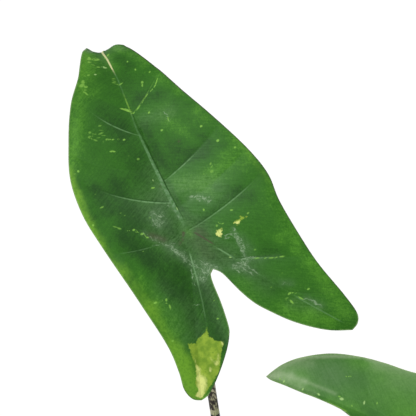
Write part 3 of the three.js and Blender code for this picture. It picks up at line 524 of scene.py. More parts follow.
def catmull_rom(points, shares, reflect=False):
    """Points at even shares of a uniform Catmull-Rom curve through points."""
    points = np.asarray(points, float)
    before = 2 * points[0] - points[1] if reflect else points[0]
    after = 2 * points[-1] - points[-2] if reflect else points[-1]
    padded = np.vstack([before, points, after])
    place = np.clip(shares, 0, 1) * (len(points) - 1)
    first = np.minimum(place.astype(int), len(points) - 2)
    t = (place - first)[:, None]
    p0, p1, p2, p3 = (padded[first + k] for k in range(4))
    bend0, bend1 = (p2 - p0) / 2, (p3 - p1) / 2
    cubic = 2 * p1 - 2 * p2 + bend0 + bend1
    square = 3 * p2 - 3 * p1 - 2 * bend0 - bend1
    return ((cubic * t + square) * t + bend0) * t + p1


def summed(steps):
    """The sums of steps so far, starting at 0."""
    return np.concatenate([[0], np.cumsum(steps)])


def running_length(line):
    """The length run at each point of a line."""
    return summed(np.linalg.norm(np.diff(line, axis=0), axis=1))


def along_line(line, shares):
    """Points at the given shares of a line's length."""
    length = running_length(line)
    wanted = np.asarray(shares) * length[-1]
    return np.stack([np.interp(wanted, length, line[:, k]) for k in range(line.shape[1])], -1)


def line_distance(points, line):
    """Signed distance from flat points to a line, and the share of its length there."""
    line = np.asarray(line, float)
    length = running_length(line)
    best = np.full(len(points), 1e9)
    signed = np.zeros(len(points))
    share = np.zeros(len(points))
    for k, (start, step) in enumerate(zip(line[:-1], np.diff(line, axis=0))):
        if not step.any():
            continue
        reach = points - start
        here = np.clip(reach @ step / (step @ step), 0, 1)
        away = reach - here[:, None] * step
        distance = np.hypot(away[:, 0], away[:, 1])
        nearer = distance < best
        side = np.sign(step[0] * reach[:, 1] - step[1] * reach[:, 0])
        best = np.where(nearer, distance, best)
        signed = np.where(nearer, np.where(side == 0, 1, side) * distance, signed)
        at = (length[k] + here * (length[k + 1] - length[k])) / length[-1]
        share = np.where(nearer, at, share)
    return signed, share


def outline_distance(points, outline):
    """Distance from flat points to a closed outline, negative inside it."""
    outline = np.asarray(outline, float)
    closed = np.vstack([outline, outline[:1]])
    inside = np.zeros(len(points), bool)
    for (u0, v0), (u1, v1) in zip(closed[:-1], closed[1:]):
        spans = (v0 > points[:, 1]) != (v1 > points[:, 1])
        if v0 != v1:
            crossing = u0 + (points[:, 1] - v0) * (u1 - u0) / (v1 - v0)
            inside ^= spans & (points[:, 0] < crossing)
    distance = np.abs(line_distance(points, closed)[0])
    return np.where(inside, -distance, distance)


def painted(points, strokes):
    """How strongly soft strokes cover flat points, 0 to 1."""
    bare = np.ones(len(points))
    for u0, v0, u1, v1, reach, amount in strokes:
        distance = line_distance(points, [(u0, v0), (u1, v1)])[0]
        bare *= 1 - amount * np.exp(-(distance / reach) ** 2)
    return 1 - bare


def dot_field(points, dots):
    """Flat points seen from the nearest dot, in half lengths, half widths and how far."""
    best = np.full((len(points), 3), 20.0)
    for u, v, half_length, half_width, turn in dots:
        sine, cosine = np.sin(np.radians(turn)), np.cos(np.radians(turn))
        reach = points - (u, v)
        along = (reach @ (sine, cosine)) / half_length
        across = (reach @ (cosine, -sine)) / half_width
        far = np.hypot(along, across)
        seen = np.column_stack([along, across, far])
        best = np.where((far < best[:, 2])[:, None], seen, best)
    return best


def as_dot(u0, v0, u1, v1, half_width):
    """A thin straight mark as a long dot."""
    length = np.hypot(u1 - u0, v1 - v0)
    turn = np.degrees(np.arctan2(u1 - u0, v1 - v0))
    return (u0 + u1) / 2, (v0 + v1) / 2, length / 2, half_width, turn


def ripple(points, seed, wavelength, waves=14):
    """A smooth wobble of about -1 to 1 over points, from waves in random directions."""
    rng = np.random.default_rng(seed)
    total = np.zeros(len(points))
    for _ in range(waves):
        direction = rng.normal(size=points.shape[1])
        direction /= np.linalg.norm(direction)
        stretch = rng.uniform(0.7, 1.4)
        total += np.sin(points @ direction * TURN / (wavelength * stretch) + rng.uniform(0, TURN))
    return total / np.sqrt(waves)


# Leaf blades

def beside_lobe_rib(u, v, lobe):
    """How far along a lobe's straight rib flat places are, as a share, and how far from it."""
    lobe_u, lobe_v = lobe
    length = np.hypot(lobe_u, lobe_v)
    along = np.clip((u * lobe_u + v * lobe_v) / length, 0, length) / length
    return along, np.hypot(u - along * lobe_u, v - along * lobe_v)


class BladeSurface:
    """A blade's middle surface, bent, folded along its ribs and twisted."""

    def __init__(self, leaf):
        heading, pitch, roll = np.radians([leaf["heading"], leaf["pitch"], leaf["roll"]])
        level = np.array([np.sin(heading), -np.cos(heading), 0])
        self.along = np.array([np.cos(heading) * np.cos(pitch),
                               np.sin(heading) * np.cos(pitch), np.sin(pitch)])
        raised = np.cross(level, self.along)
        self.across = np.cos(roll) * level + np.sin(roll) * raised
        self.up = np.cos(roll) * raised - np.sin(roll) * level
        self.junction = np.array(leaf["junction"], float)
        self.rise, self.reach = leaf["fold"]
        self.twist = leaf["twist"]
        self.lobes = [leaf[side]["outer"][-1] for side in ("left", "right")]
        self.trace_midrib(leaf["bend"])

    def trace_midrib(self, bend):
        """Angle, distance forward and distance down in steps of 1 mm along the midrib."""
        curve = catmull_rom(bend, np.linspace(0, 1, 401))
        self.u = np.arange(bend[0][0], bend[-1][0] + 0.5, 1.0)
        self.angle = np.radians(np.interp(self.u, curve[:, 0], curve[:, 1]))
        steps = [(wave(self.angle)[1:] + wave(self.angle)[:-1]) / 2 for wave in (np.cos, np.sin)]
        forward, down = (summed(step) for step in steps)
        self.forward = forward - np.interp(0, self.u, forward)
        self.down = down - np.interp(0, self.u, down)

    def rib_distance(self, u, v):
        """Distance to the nearest main rib, rounded where two ribs are equally near."""
        distances = [np.where(u > 0, np.abs(v), np.hypot(u, v))]
        distances += [beside_lobe_rib(u, v, lobe)[1] for lobe in self.lobes]
        distances = np.array(distances)
        nearest = distances.min(0)
        crowd = np.exp(-(distances - nearest) / RIB["rounding"]).sum(0)
        return np.maximum(nearest - RIB["rounding"] * np.log(crowd), 0)

    def point(self, u, v, offset=0.0):
        """The place of flat points, raised by offset along the surface's normal."""
        angle = np.interp(u, self.u, self.angle)
        over = np.maximum(u - self.u[-1], 0) + np.minimum(u - self.u[0], 0)
        forward = np.interp(u, self.u, self.forward) + over * np.cos(angle)
        down = np.interp(u, self.u, self.down) + over * np.sin(angle)
        degrees, start, end = self.twist
        folded = self.rise * (1 - np.exp(-self.rib_distance(u, v) / self.reach))
        twisted = v * np.tan(np.radians(degrees)) * smoothstep(start, end, u)
        height = folded - twisted + offset
        normal = np.multiply.outer(np.cos(angle), self.up)
        normal += np.multiply.outer(np.sin(angle), self.along)
        place = self.junction + np.multiply.outer(forward, self.along)
        place += np.multiply.outer(v, self.across) - np.multiply.outer(down, self.up)
        return place + normal * height[..., None]


def crowded_shares(steps):
    """Shares that crowd together towards the end, for the round end of a lobe."""
    return 1 - (1 - np.linspace(0, 1, steps + 1)) ** NET["lobe_crowding"]


def side_grids(leaf, side):
    """The flat points of one side: rows from the ribs to the outer and the inner margin."""
    midrib_rows, lobe_rows = leaf["rows"]
    outer_columns, inner_columns = leaf["columns"]
    outline = leaf[side]
    tip = np.array([[leaf["length"], 0.0]])
    lobe = np.array([outline["outer"][-1]], float)
    sinus = np.array([leaf["sinus"]], float)
    midrib = tip * (1 - np.linspace(0, 1, midrib_rows + 1))[:, None]
    lobe_rib = lobe * crowded_shares(lobe_rows)[:, None]
    middle = NET["midrib_share"]
    shares = np.concatenate([np.linspace(0, middle, midrib_rows + 1),
                             blend(middle, 1, crowded_shares(lobe_rows)[1:])])
    smooth = np.linspace(0, 1, 601)
    margin = along_line(catmull_rom(outline["outer"], smooth), shares)
    sinus_rows = max(2, round(lobe_rows * NET["sinus_share"]))
    inner = catmull_rom(np.vstack([sinus, outline["inner"]]), smooth)
    edge = np.vstack([sinus * np.linspace(0, 1, sinus_rows + 1)[:, None],
                      along_line(inner, crowded_shares(lobe_rows - sinus_rows))[1:]])
    margin[0], margin[-1], edge[-1] = tip, lobe, lobe
    grids = []
    for rib, far, columns in (
        (np.vstack([midrib, lobe_rib[1:]]), margin, outer_columns),
        (lobe_rib, edge, inner_columns),
    ):
        across = np.linspace(0, 1, columns + 1) ** NET["column_crowding"]
        grids.append(blend(rib[:, None], far[:, None], across[None, :, None]))
    return grids


def flat_net(leaf):
    """A blade's flat points and its triangles, which face up."""
    points, triangles = [], []
    count = 0
    for side in ("left", "right"):
        for grid, turned in zip(side_grids(leaf, side), (side == "left", side == "right")):
            rows, columns = grid.shape[:2]
            ids = count + np.arange(rows * columns).reshape(rows, columns)
            corners = [ids[:-1, :-1], ids[1:, :-1], ids[1:, 1:], ids[:-1, 1:]]
            if turned:
                corners.reverse()
            a, b, c, d = (corner.ravel() for corner in corners)
            triangles += [np.stack([a, b, c], -1), np.stack([a, c, d], -1)]
            points.append(grid.reshape(-1, 2))
            count += rows * columns
    points = np.vstack(points)
    _, kept, ids = np.unique(np.round(points, 3), axis=0, return_index=True, return_inverse=True)
    triangles = ids.reshape(-1)[np.vstack(triangles)]
    a, b, c = triangles.T
    return points[kept], triangles[(a != b) & (b != c) & (c != a)]


def rim_edges(triangles):
    """The edges that only one triangle has, each in its triangle's direction."""
    edges = np.vstack([triangles[:, [0, 1]], triangles[:, [1, 2]], triangles[:, [2, 0]]])
    known = set(map(tuple, edges.tolist()))
    return [(a, b) for a, b in known if (b, a) not in known]


def general_veins(leaf, side):
    """One side's veins for a leaf that lists none, from the tip to the lobe."""
    length = leaf["length"]
    margin = catmull_rom(leaf[side]["outer"], np.linspace(0, 1, 200))
    rib = np.array(leaf["basal_ribs"][0 if side == "left" else 1], float)
    veins = []
    for start, end, bow, bright in GENERAL_VEINS:
        foot_v = np.interp(-start * length, -rib[:, 0], rib[:, 1]) if start < 0 else 0
        end_v = np.interp(-end * length, -margin[:, 0], margin[:, 1])
        foot, head = (start * length, foot_v), (end * length, end_v)
        bright *= leaf.get("vein_share", 1)
        veins.append((foot, head, bow * length, bright, 0.9, bright))
    return veins


def bowed_line(start, end, bow):
    """Points on a vein that bows towards the stalk."""
    start, end = np.array(start, float), np.array(end, float)
    run = (end - start) / np.linalg.norm(end - start)
    middle = (start + end) / 2 + 2 * bow * np.array([-abs(run[1]), run[0] * np.sign(run[1])])
    t = np.linspace(0, 1, 13)[:, None]
    return (1 - t) ** 2 * start + 2 * t * (1 - t) * middle + t ** 2 * end


def vein_fields(leaf, points):
    """Fields of the side veins.

    vein is the distance to the nearest one, its sign alternating from vein to vein, and
    vein_turn is 1 or -1, which turns that sign to plus on the vein's tip side.
    vein_strength is its brightness. sheen marks the panel on each vein's stalk side.
    """
    nearest = np.full(len(points), 40.0)
    strength = np.zeros(len(points))
    tipward = np.ones(len(points))
    sheen = np.zeros(len(points))
    for side, sign in (("left", -1), ("right", 1)):
        here = points[:, 1] * sign >= 0
        veins = leaf["veins"][side] if "veins" in leaf else general_veins(leaf, side)
        for k, (start, end, bow, bright, fade, shine) in enumerate(veins):
            distance, share = line_distance(points, bowed_line(start, end, bow))
            closer = here & (np.abs(distance) < np.abs(nearest))
            nearest = np.where(closer, distance * (-1) ** k, nearest)
            tipward = np.where(closer, -sign * (-1) ** k, tipward)
            left = 1 - smoothstep(0.5 * fade, fade, share)
            strength = np.where(closer, bright * left, strength)
            near_stalk = here & (distance * sign > 0)
            panel = shine * (1 - smoothstep(0.55, 1, share)) * np.exp(-np.abs(distance) / 15)
            sheen = np.maximum(sheen, np.where(near_stalk, panel, 0))
    return {"vein": nearest, "vein_turn": tipward, "vein_strength": strength, "sheen": sheen}


def margin_line(leaf, side):
    """One side's margin from the sinus round the lobe to the tip."""
    smooth = np.linspace(0, 1, 400)
    inner = catmull_rom(np.vstack([leaf["sinus"], leaf[side]["inner"]]), smooth)
    outer = catmull_rom(leaf[side]["outer"], smooth)
    return np.vstack([along_line(inner, np.linspace(0, 1, 50)),
                      along_line(outer, np.linspace(1, 0, 90))])


def leaf_fields(leaf, points):
    """What the leaf's materials and relief need to know at each flat point."""
    margins = [line_distance(points, margin_line(leaf, side))[0] for side in ("left", "right")]
    basal = [line_distance(points, rib)[0] for rib in leaf["basal_ribs"]]
    fibres = [as_dot(*fibre) for fibre in leaf.get("fibres", [])]
    return {
        "flat": np.column_stack([points, np.zeros(len(points))]),
        "edge": np.min(np.abs(margins), axis=0),
        "midrib": line_distance(points, leaf["midrib"])[0],
        "basal": np.where(np.abs(basal[0]) < np.abs(basal[1]), -basal[0], basal[1]),
        "pale": np.min([outline_distance(points, patch) for patch in leaf["patches"]], axis=0),
        "fibres": dot_field(points, fibres),
        **vein_fields(leaf, points),
        **{name: dot_field(points, leaf.get(name, [])) for name in ("dots", "pale_dots")},
        **{name: painted(points, leaf.get(name, [])) for name in PAINTED},
    }


def rib_height(leaf, surface, points):
    """How far the main ribs stand out at flat points, tapering along them and sideways."""
    def height(share, distance):
        depth = RIB["depth"] * (1 - (1 - RIB["tip_share"]) * np.clip(share, 0, 1))
        width = RIB["width"] * (1 - RIB["narrowing"] * np.clip(share, 0, 1))
        return depth * np.exp(-(distance / width) ** 2)

    u, v = points.T
    heights = [np.where(u > 0, height(u / leaf["length"], v), 0)]
    heights += [height(*beside_lobe_rib(u, v, lobe)) for lobe in surface.lobes]
    return np.max(heights, axis=0)


def build_blade(leaf, materials):
    """A blade with its panels between the veins, its ribs underneath and a thin margin."""
    surface = BladeSurface(leaf)
    points, triangles = flat_net(leaf)
    fields = leaf_fields(leaf, points)
    u, v = points.T
    distance = np.abs(fields["vein"])
    inland = smoothstep(0, BLADE["flat_edge"], fields["edge"])

    def beside_vein(height, width):
        return height * np.exp(-(distance / width) ** 2) * inland

    swell = BLADE["panel_rise"] * (1 - np.exp(-distance / BLADE["panel_reach"])) * inland
    swell += BLADE["edge_sway"] * ripple(points, 5, BLADE["sway_length"]) * (1 - inland)
    groove = beside_vein(BLADE["groove"], BLADE["groove_width"])
    ridge = beside_vein(BLADE["ridge"], BLADE["ridge_width"])
    thickness = blend(BLADE["margin_thickness"], BLADE["thickness"],
                      smoothstep(0, BLADE["margin_width"], fields["edge"]))
    crest_width = blend(BLADE["crest_tip_width"], BLADE["crest_width"],
                        1 - np.clip(u / leaf["length"], 0, 1))
    crest = BLADE["crest"] * np.exp(-(fields["midrib"] / crest_width) ** 4) * smoothstep(-6, 4, u)
    waves = sum(height * painted(points, [(*wave, 1)]) for *wave, height in leaf.get("waves", []))
    middle = swell + waves
    top = surface.point(u, v, middle - groove + crest + thickness / 2)
    ribs = np.maximum(rib_height(leaf, surface, points), ridge)
    under = surface.point(u, v, middle - thickness / 2 - ribs)
    rim = rim_edges(triangles)
    count = len(points)
    faces = triangles.tolist() + (triangles[:, ::-1] + count).tolist()
    faces += [(b, a, a + count, b + count) for a, b in rim]
    slots = np.repeat([0, 1, 2], [len(triangles), len(triangles), len(rim)])
    doubled = {name: np.concatenate([field, field]) for name, field in fields.items()}
    make_piece(f"{leaf['name']}_skin", np.vstack([top, under]), faces, materials,
               replaced=f"{leaf['name']}_blade", sharp=70, face_slots=slots, fields=doubled)
    return surface


# Meshes

def new_object(name, data):
    """An object in the scene that shows a mesh, light or camera."""
    item = bpy.data.objects.new(name, data)
    bpy.context.collection.objects.link(item)
    return item


def new_mesh(name, points, faces, materials=()):
    """A mesh in metres."""
    mesh = bpy.data.meshes.new(name)
    mesh.from_pydata((np.asarray(points) * MM).tolist(), [], faces)
    for material in materials:
        mesh.materials.append(material)
    return mesh


def make_piece(name, points, faces, materials, replaced=None, sharp=None,
               face_slots=None, fields=None):
    """A mesh object that rides on the body, smooth but for edges over sharp degrees."""
    mesh = new_mesh(name, points, faces, materials)
    if face_slots is not None:
        mesh.polygons.foreach_set("material_index", np.asarray(face_slots, np.int32))
    add_fields(mesh, fields or {})
    mesh.shade_smooth()
    mesh.update()
    if sharp:
        mesh.set_sharp_from_angle(angle=np.radians(sharp))
    piece = new_object(name, mesh)
    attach(piece, "root")
    if replaced:
        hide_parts(replaced)


def add_fields(mesh, fields):
    """Stores numbers or vectors for each vertex, for the materials to read."""
    for name, values in fields.items():
        kind, key = ("FLOAT_VECTOR", "vector") if values.ndim == 2 else ("FLOAT", "value")
        attribute = mesh.attributes.new(name, kind, "POINT")
        attribute.data.foreach_set(key, values.astype(np.float32).ravel())


def tube_faces(rows, sides):
    """Faces of a tube of rings, closed by fans round two last points, low and high."""
    faces = []
    for row in range(rows - 1):
        for k in range(sides):
            a, b = row * sides + k, row * sides + (k + 1) % sides
            faces.append((a, b, b + sides, a + sides))
    low, high = rows * sides, rows * sides + 1
    last = (rows - 1) * sides
    for k in range(sides):
        after = (k + 1) % sides
        faces += [(low, after, k), (high, last + k, last + after)]
    return faces


def lathe(profile, sides):
    """Points and faces of a closed solid turned about Z, its profile running up the outside.

    The profile starts and ends on the axis.
    """
    profile = np.asarray(profile, float)
    angle = np.arange(sides) / sides * TURN
    ring = profile[1:-1]
    radius, height = ring[:, :1], np.repeat(ring[:, 1:], sides, axis=1)
    points = np.stack([radius * np.cos(angle), radius * np.sin(angle), height], -1)
    ends = [(0, 0, profile[0, 1]), (0, 0, profile[-1, 1])]
    return np.vstack([points.reshape(-1, 3), ends]), tube_faces(len(ring), sides)


def push_out(points, push):
    """Moves points away from Z."""
    radius = np.hypot(points[:, 0], points[:, 1])
    points[:, :2] += points[:, :2] * (push / np.maximum(radius, 1))[:, None]


def cut_away(points, faces, tools):
    """Points and faces of a closed mesh with the closed meshes in tools cut out of it."""
    body = new_object("cut", new_mesh("cut", points, faces))
    cutters = [new_object("cut", new_mesh("cut", *tool)) for tool in tools]
    for cutter in cutters:
        modifier = body.modifiers.new("cut", "BOOLEAN")
        modifier.operation = "DIFFERENCE"
        modifier.solver = "MANIFOLD"
        modifier.object = cutter
    evaluated = body.evaluated_get(bpy.context.evaluated_depsgraph_get())
    result = bpy.data.meshes.new_from_object(evaluated)
    flat = np.empty(len(result.vertices) * 3, np.float32)
    result.vertices.foreach_get("co", flat)
    new_faces = [tuple(face.vertices) for face in result.polygons]
    for item in [body, *cutters]:
        mesh = item.data
        bpy.data.objects.remove(item)
        bpy.data.meshes.remove(mesh)
    bpy.data.meshes.remove(result)
    return flat.reshape(-1, 3).astype(float) / MM, new_faces


# Stalks

class Stalk:
    """A stalk's centre line, with a frame that doesn't twist along it."""

    def __init__(self, leaf, surface):
        spec = leaf["stalk"]
        foot = np.array([*spec["foot"], RHIZOME["top"] + GAP])
        head = surface.point(np.array([0.0]), np.array([0.0]))[0]
        knots = np.vstack([foot, foot + (0, 0, PETIOLE["upright"]), spec["path"], head])
        fine = catmull_rom(knots, np.linspace(0, 1, 4000), reflect=True)
        self.length = running_length(fine)[-1]
        self.line = along_line(fine, np.linspace(0, 1, PETIOLE["samples"]))
        self.tangent = np.gradient(self.line, axis=0)
        self.tangent[0] = (0, 0, 1)
        self.tangent /= np.linalg.norm(self.tangent, axis=1)[:, None]
        self.foot_radius = spec["foot_radius"]
        self.blade_up, self.head = surface.up, head
        sides = []
        side = np.array([1.0, 0, 0])
        for tangent in self.tangent:
            side = side - tangent * (side @ tangent)
            side /= np.linalg.norm(side)
            sides.append(side)
        self.side = np.array(sides)
        self.other = np.cross(self.tangent, self.side)

    def radius(self, share):
        """The stalk's radius at a share of its length."""
        slim = blend(PETIOLE["mid_radius"], PETIOLE["top_radius"], share)
        collar = np.exp(-(share * self.length / PETIOLE["collar"]) ** 2)
        return blend(slim, self.foot_radius, collar)

    def sweep(self, extra=0.0):
        """Points and faces of the stalk, cut flat under the blade."""
        rows = round(self.length / PETIOLE["row"])
        shares = np.linspace(0, 1, rows + 1) ** PETIOLE["row_crowding"]
        place = shares * (PETIOLE["samples"] - 1)
        index = np.arange(PETIOLE["samples"])

        def at(values):
            return np.stack([np.interp(place, index, values[:, k]) for k in range(3)], -1)

        angle = np.arange(PETIOLE["sides"]) / PETIOLE["sides"] * TURN
        radius = self.radius(shares) + extra
        spread = at(self.side)[:, None] * np.cos(angle)[:, None]
        spread = spread + at(self.other)[:, None] * np.sin(angle)[:, None]
        points = at(self.line)[:, None] + spread * radius[:, None, None]
        points = points.reshape(-1, 3)
        tangent = self.tangent[-1]
        over = (points - self.head) @ self.blade_up + BLADE["thickness"] / 2 + GAP
        slide = np.maximum(over, 0) / (tangent @ self.blade_up)
        points -= slide[:, None] * tangent
        ends = [self.line[0], points[rows * PETIOLE["sides"]:].mean(0)]
        return np.vstack([points, ends]), tube_faces(rows + 1, PETIOLE["sides"])

    def straightened(self, points):
        """Where points would be if the stalk were straight: across, across and along."""
        nearest = np.empty(len(points), int)
        for start in range(0, len(points), 2000):
            block = points[start:start + 2000]
            gaps = ((block[:, None] - self.line[None]) ** 2).sum(-1)
            nearest[start:start + 2000] = gaps.argmin(1)
        reach = points - self.line[nearest]
        along = nearest / (PETIOLE["samples"] - 1) * self.length
        across = [(reach * sides[nearest]).sum(1) for sides in (self.side, self.other)]
        return np.column_stack([*across, along])


def band_field(bands, along):
    """How much darker, or paler when negative, a stalk is in its listed bands."""
    total = np.zeros(len(along))
    for place, half, amount in bands:
        total += amount * np.exp(-((along - place) / half) ** 4)
    return total


def build_stalks(surfaces, material):
    """The stalks, each older one cut back where it clasps the younger ones."""
    younger = []
    for leaf, surface in surfaces:
        stalk = Stalk(leaf, surface)
        points, faces = stalk.sweep()
        if younger:
            points, faces = cut_away(points, faces, younger)
        straight_place = stalk.straightened(points)
        bands = band_field(leaf["stalk"].get("bands", []), straight_place[:, 2])
        make_piece(f"{leaf['name']}_stalk", points, faces, [material],
                   replaced=f"{leaf['name']}_petiole", sharp=50,
                   fields={"straight": straight_place, "bands": bands})
        younger.append(stalk.sweep(GAP + 0.1))


# Pot, soil and rhizome

def pot_inner_radius(z):
    """The radius of the pot's inside at a height."""
    bottom = POT["base_radius"] - POT["floor_wall"]
    top = POT["rim_radius"] - POT["wall"]
    return bottom + (top - bottom) * (z - POT["floor"]) / (POT["height"] - POT["floor"])


def corner(r, z, radius, start, end, steps=8):
    """Points on a round corner of a profile, from one angle to another in degrees."""
    angle = np.radians(np.linspace(start, end, steps + 1))
    return list(zip(r + radius * np.cos(angle), z + radius * np.sin(angle)))


def straight(start, end, step=3.0):
    """Points from start up to but not including end, about a step apart."""
    start, end = np.array(start, float), np.array(end, float)
    count = max(1, round(np.linalg.norm(end - start) / step))
    return [tuple(start + (end - start) * k / count) for k in range(count)]


def pot_profile():
    """Half the pot's section, from the middle of its underside to that of its floor."""
    height, rim_radius, base_radius = POT["height"], POT["rim_radius"], POT["base_radius"]
    lip, cove, foot = POT["lip"], POT["cove"], POT["foot"]
    band_bottom = height - POT["rim_height"]
    band_radius = rim_radius - POT["rim_flare"]
    inner_radius = pot_inner_radius(height)
    low_inner = (pot_inner_radius(POT["floor"] + cove), POT["floor"] + cove)
    wall_top = (rim_radius - POT["rim_step"], band_bottom)
    band_corner = corner(band_radius - lip / 2, band_bottom + lip / 2, lip / 2, -90, 0)
    outer_lip = corner(rim_radius - lip, height - lip, lip, 0, 90)
    return [
        (0, 0), (base_radius - foot, 0), *corner(base_radius - foot, foot, foot, -90, 0),
        *straight((base_radius, foot + 2), wall_top), wall_top,
        *band_corner, *straight(band_corner[-1], outer_lip[0])[1:], *outer_lip,
        *corner(inner_radius + lip, height - lip, lip, 90, 180),
        *straight((inner_radius, height - lip), low_inner)[1:],
        *corner(low_inner[0] - cove, low_inner[1], cove, 0, -90), (0, POT["floor"]),
    ]


def build_pot(material):
    """The clay pot, turned, with its drain holes."""
    points, faces = lathe(pot_profile(), POT["sides"])
    radius, z = np.hypot(points[:, 0], points[:, 1]), points[:, 2]
    outside = (radius > pot_inner_radius(z) + 2) & (z > 4)
    turning = 0.12 * np.sin(z * 1.9) + 0.25 * ripple(points, 3, 60)
    push_out(points, np.where(outside, turning - 0.3, 0))
    drill, drill_faces = lathe([(0, -10), (DRAIN["radius"], -10), (DRAIN["radius"], 30), (0, 30)],
                               DRAIN["sides"])
    drills = []
    for k in range(DRAIN["count"]):
        angle = k / DRAIN["count"] * TURN + TURN / 12
        centre = (DRAIN["circle"] * np.cos(angle), DRAIN["circle"] * np.sin(angle), 0)
        drills.append((drill + centre, drill_faces))
    points, faces = cut_away(points, faces, drills)
    make_piece("clay_pot", points, faces, [material], replaced="pot", sharp=40)


def soil_height(points):
    """The height of the soil's surface over level points."""
    x, y = points[:, 0], points[:, 1]
    edge = pot_inner_radius(SOIL["edge"])
    rise = (edge - np.hypot(x, y)) / (edge - (RHIZOME["radius"] + GAP))
    relief = np.sin(x * 0.21 + 1.3) * np.cos(y * 0.24 - 0.4)
    relief += 0.7 * np.sin(x * 0.43 - y * 0.37) + 0.4 * np.cos(x * 0.61 + y * 0.55 + 2)
    return blend(SOIL["edge"], SOIL["crown"], rise) + SOIL["relief"] * relief


def build_soil(material):
    """The soil body with a lumpy surface and a hole that the rhizome stands in."""
    hole = RHIZOME["radius"] + GAP
    edge = pot_inner_radius(SOIL["edge"]) - 0.5
    floor = RHIZOME["bottom"] - GAP
    low = POT["floor"] + GAP
    cove = POT["floor"] + POT["cove"]
    rings = [(r, SOIL["edge"]) for r in np.linspace(edge, hole, SOIL["rings"])]
    profile = [
        (0, low), (pot_inner_radius(POT["floor"]) - POT["cove"] - GAP, low),
        (pot_inner_radius(cove) - 2 * GAP, cove + GAP), *rings, (hole, floor), (0, floor),
    ]
    points, faces = lathe(profile, SOIL["sides"])
    first = 2 * SOIL["sides"]
    surface = slice(first, first + SOIL["rings"] * SOIL["sides"])
    top = points[surface]
    near_edge = smoothstep(0, 3, edge - np.hypot(top[:, 0], top[:, 1]))
    lumps = 0.5 * ripple(top[:, :2], 11, 5) + 0.35 * ripple(top[:, :2], 12, 2.6)
    points[surface, 2] = SOIL["edge"] + near_edge * (soil_height(top) - SOIL["edge"] + lumps)
    make_piece("soil_bed", points, faces, [material], replaced="soil", sharp=60)


def lump_shapes(seed, subdivisions, roughness, count=6):
    """Points and faces of a few irregular unit lumps."""
    shapes = []
    for k in range(count):
        ball = bmesh.new()
        bmesh.ops.create_icosphere(ball, subdivisions=subdivisions, radius=1)
        points = np.array([vertex.co[:] for vertex in ball.verts])
        faces = np.array([[vertex.index for vertex in face.verts] for face in ball.faces])
        ball.free()
        bump = 1 + roughness * ripple(points, seed + k, 1.4)
        shapes.append((points * bump[:, None], faces))
    return shapes


def random_turns(rng, count):
    """Rotation matrices in random directions."""
    first, second = rng.normal(size=(2, count, 3))
    x = first / np.linalg.norm(first, axis=1)[:, None]
    z = np.cross(x, second)
    z /= np.linalg.norm(z, axis=1)[:, None]
    return np.stack([x, np.cross(z, x), z], 1)


def laid_level(rng, points):
    """A flat lump turned about Z and tilted a little."""
    turn = rng.uniform(0, TURN)
    tilt = rng.normal(scale=0.25, size=2)
    flat = points[:, :2] @ np.array([[np.cos(turn), np.sin(turn)], [-np.sin(turn), np.cos(turn)]])
    return np.column_stack([flat, points[:, 2] + flat @ tilt])


def scatter(name, material, seed, count, sizes, flatness, shapes, sunk=0.3):
    """Lumps strewn over the soil, as one piece."""
    rng = np.random.default_rng(seed)
    edge = pot_inner_radius(SOIL["edge"]) - 1.5
    spots = []
    while len(spots) < count:
        spot = rng.uniform(-edge, edge, 2)
        size = blend(*sizes, rng.random() ** 2.2)
        if RHIZOME["radius"] + size + 0.5 < np.hypot(*spot) < edge - size:
            spots.append((*spot, size))
    spots = np.array(spots)
    heights = soil_height(spots[:, :2])
    turns = random_turns(rng, count)
    all_points, all_faces, tints = [], [], []
    total = 0
    for k, (x, y, size) in enumerate(spots):
        points, faces = shapes[k % len(shapes)]
        stretch = np.array([1, rng.uniform(0.55, 0.9), flatness * rng.uniform(0.7, 1.2)])
        placed = points * stretch * size
        placed = laid_level(rng, placed) if flatness < LYING else placed @ turns[k]
        lift = -placed[:, 2].min() * (1 - 2 * sunk)
        all_points.append(placed + (x, y, heights[k] + lift))
        all_faces.append(faces + total)
        tints.append(np.full(len(points), rng.random()))
        total += len(points)
    make_piece(name, np.vstack(all_points), np.vstack(all_faces).tolist(), [material],
               sharp=45, fields={"tint": np.concatenate(tints)})


def build_rhizome(material):
    """The short stem, ringed by the scars of dropped leaves."""
    radius, bottom, top = RHIZOME["radius"], RHIZOME["bottom"], RHIZOME["top"]
    shoulder = RHIZOME["shoulder"]
    heights = np.arange(bottom + 1, top - 0.6, 0.5)
    phase = (heights - bottom) / RHIZOME["scar_pitch"] * TURN
    rings = radius - RHIZOME["scar"] * (0.5 + 0.5 * np.cos(phase)) ** 0.6
    profile = [(0, bottom), (RHIZOME["root"], bottom), *zip(rings[:-3], heights[:-3]),
               *corner(radius - RHIZOME["inset"], top - shoulder, shoulder, 0, 90), (0, top)]
    points, faces = lathe(profile, RHIZOME["sides"])
    wobble = 0.35 * ripple(points * (1, 1, 0.3), 21, 9) + 0.15 * ripple(points, 22, 2.5)
    skin = np.hypot(points[:, 0], points[:, 1]) > RHIZOME["root"] - 1
    push_out(points, np.where(skin, wobble - 0.5, 0))
    make_piece("stem_base", points, faces, [material], replaced="rhizome")


# Materials

def srgb(red, green, blue):
    """A colour seen on a screen, 0 to 255, as the renderer's linear colour."""
    values = np.array([red, green, blue]) / 255
    linear = np.where(values <= 0.04045, values / 12.92, ((values + 0.055) / 1.055) ** 2.4)
    return (*linear.tolist(), 1.0)


def arithmetic(operation, swapped=False):
    """A method that adds a Math node of two values."""
    def method(value, other):
        pair = (other, value) if swapped else (value, other)
        return value.finish.math(operation, *pair)
    return method


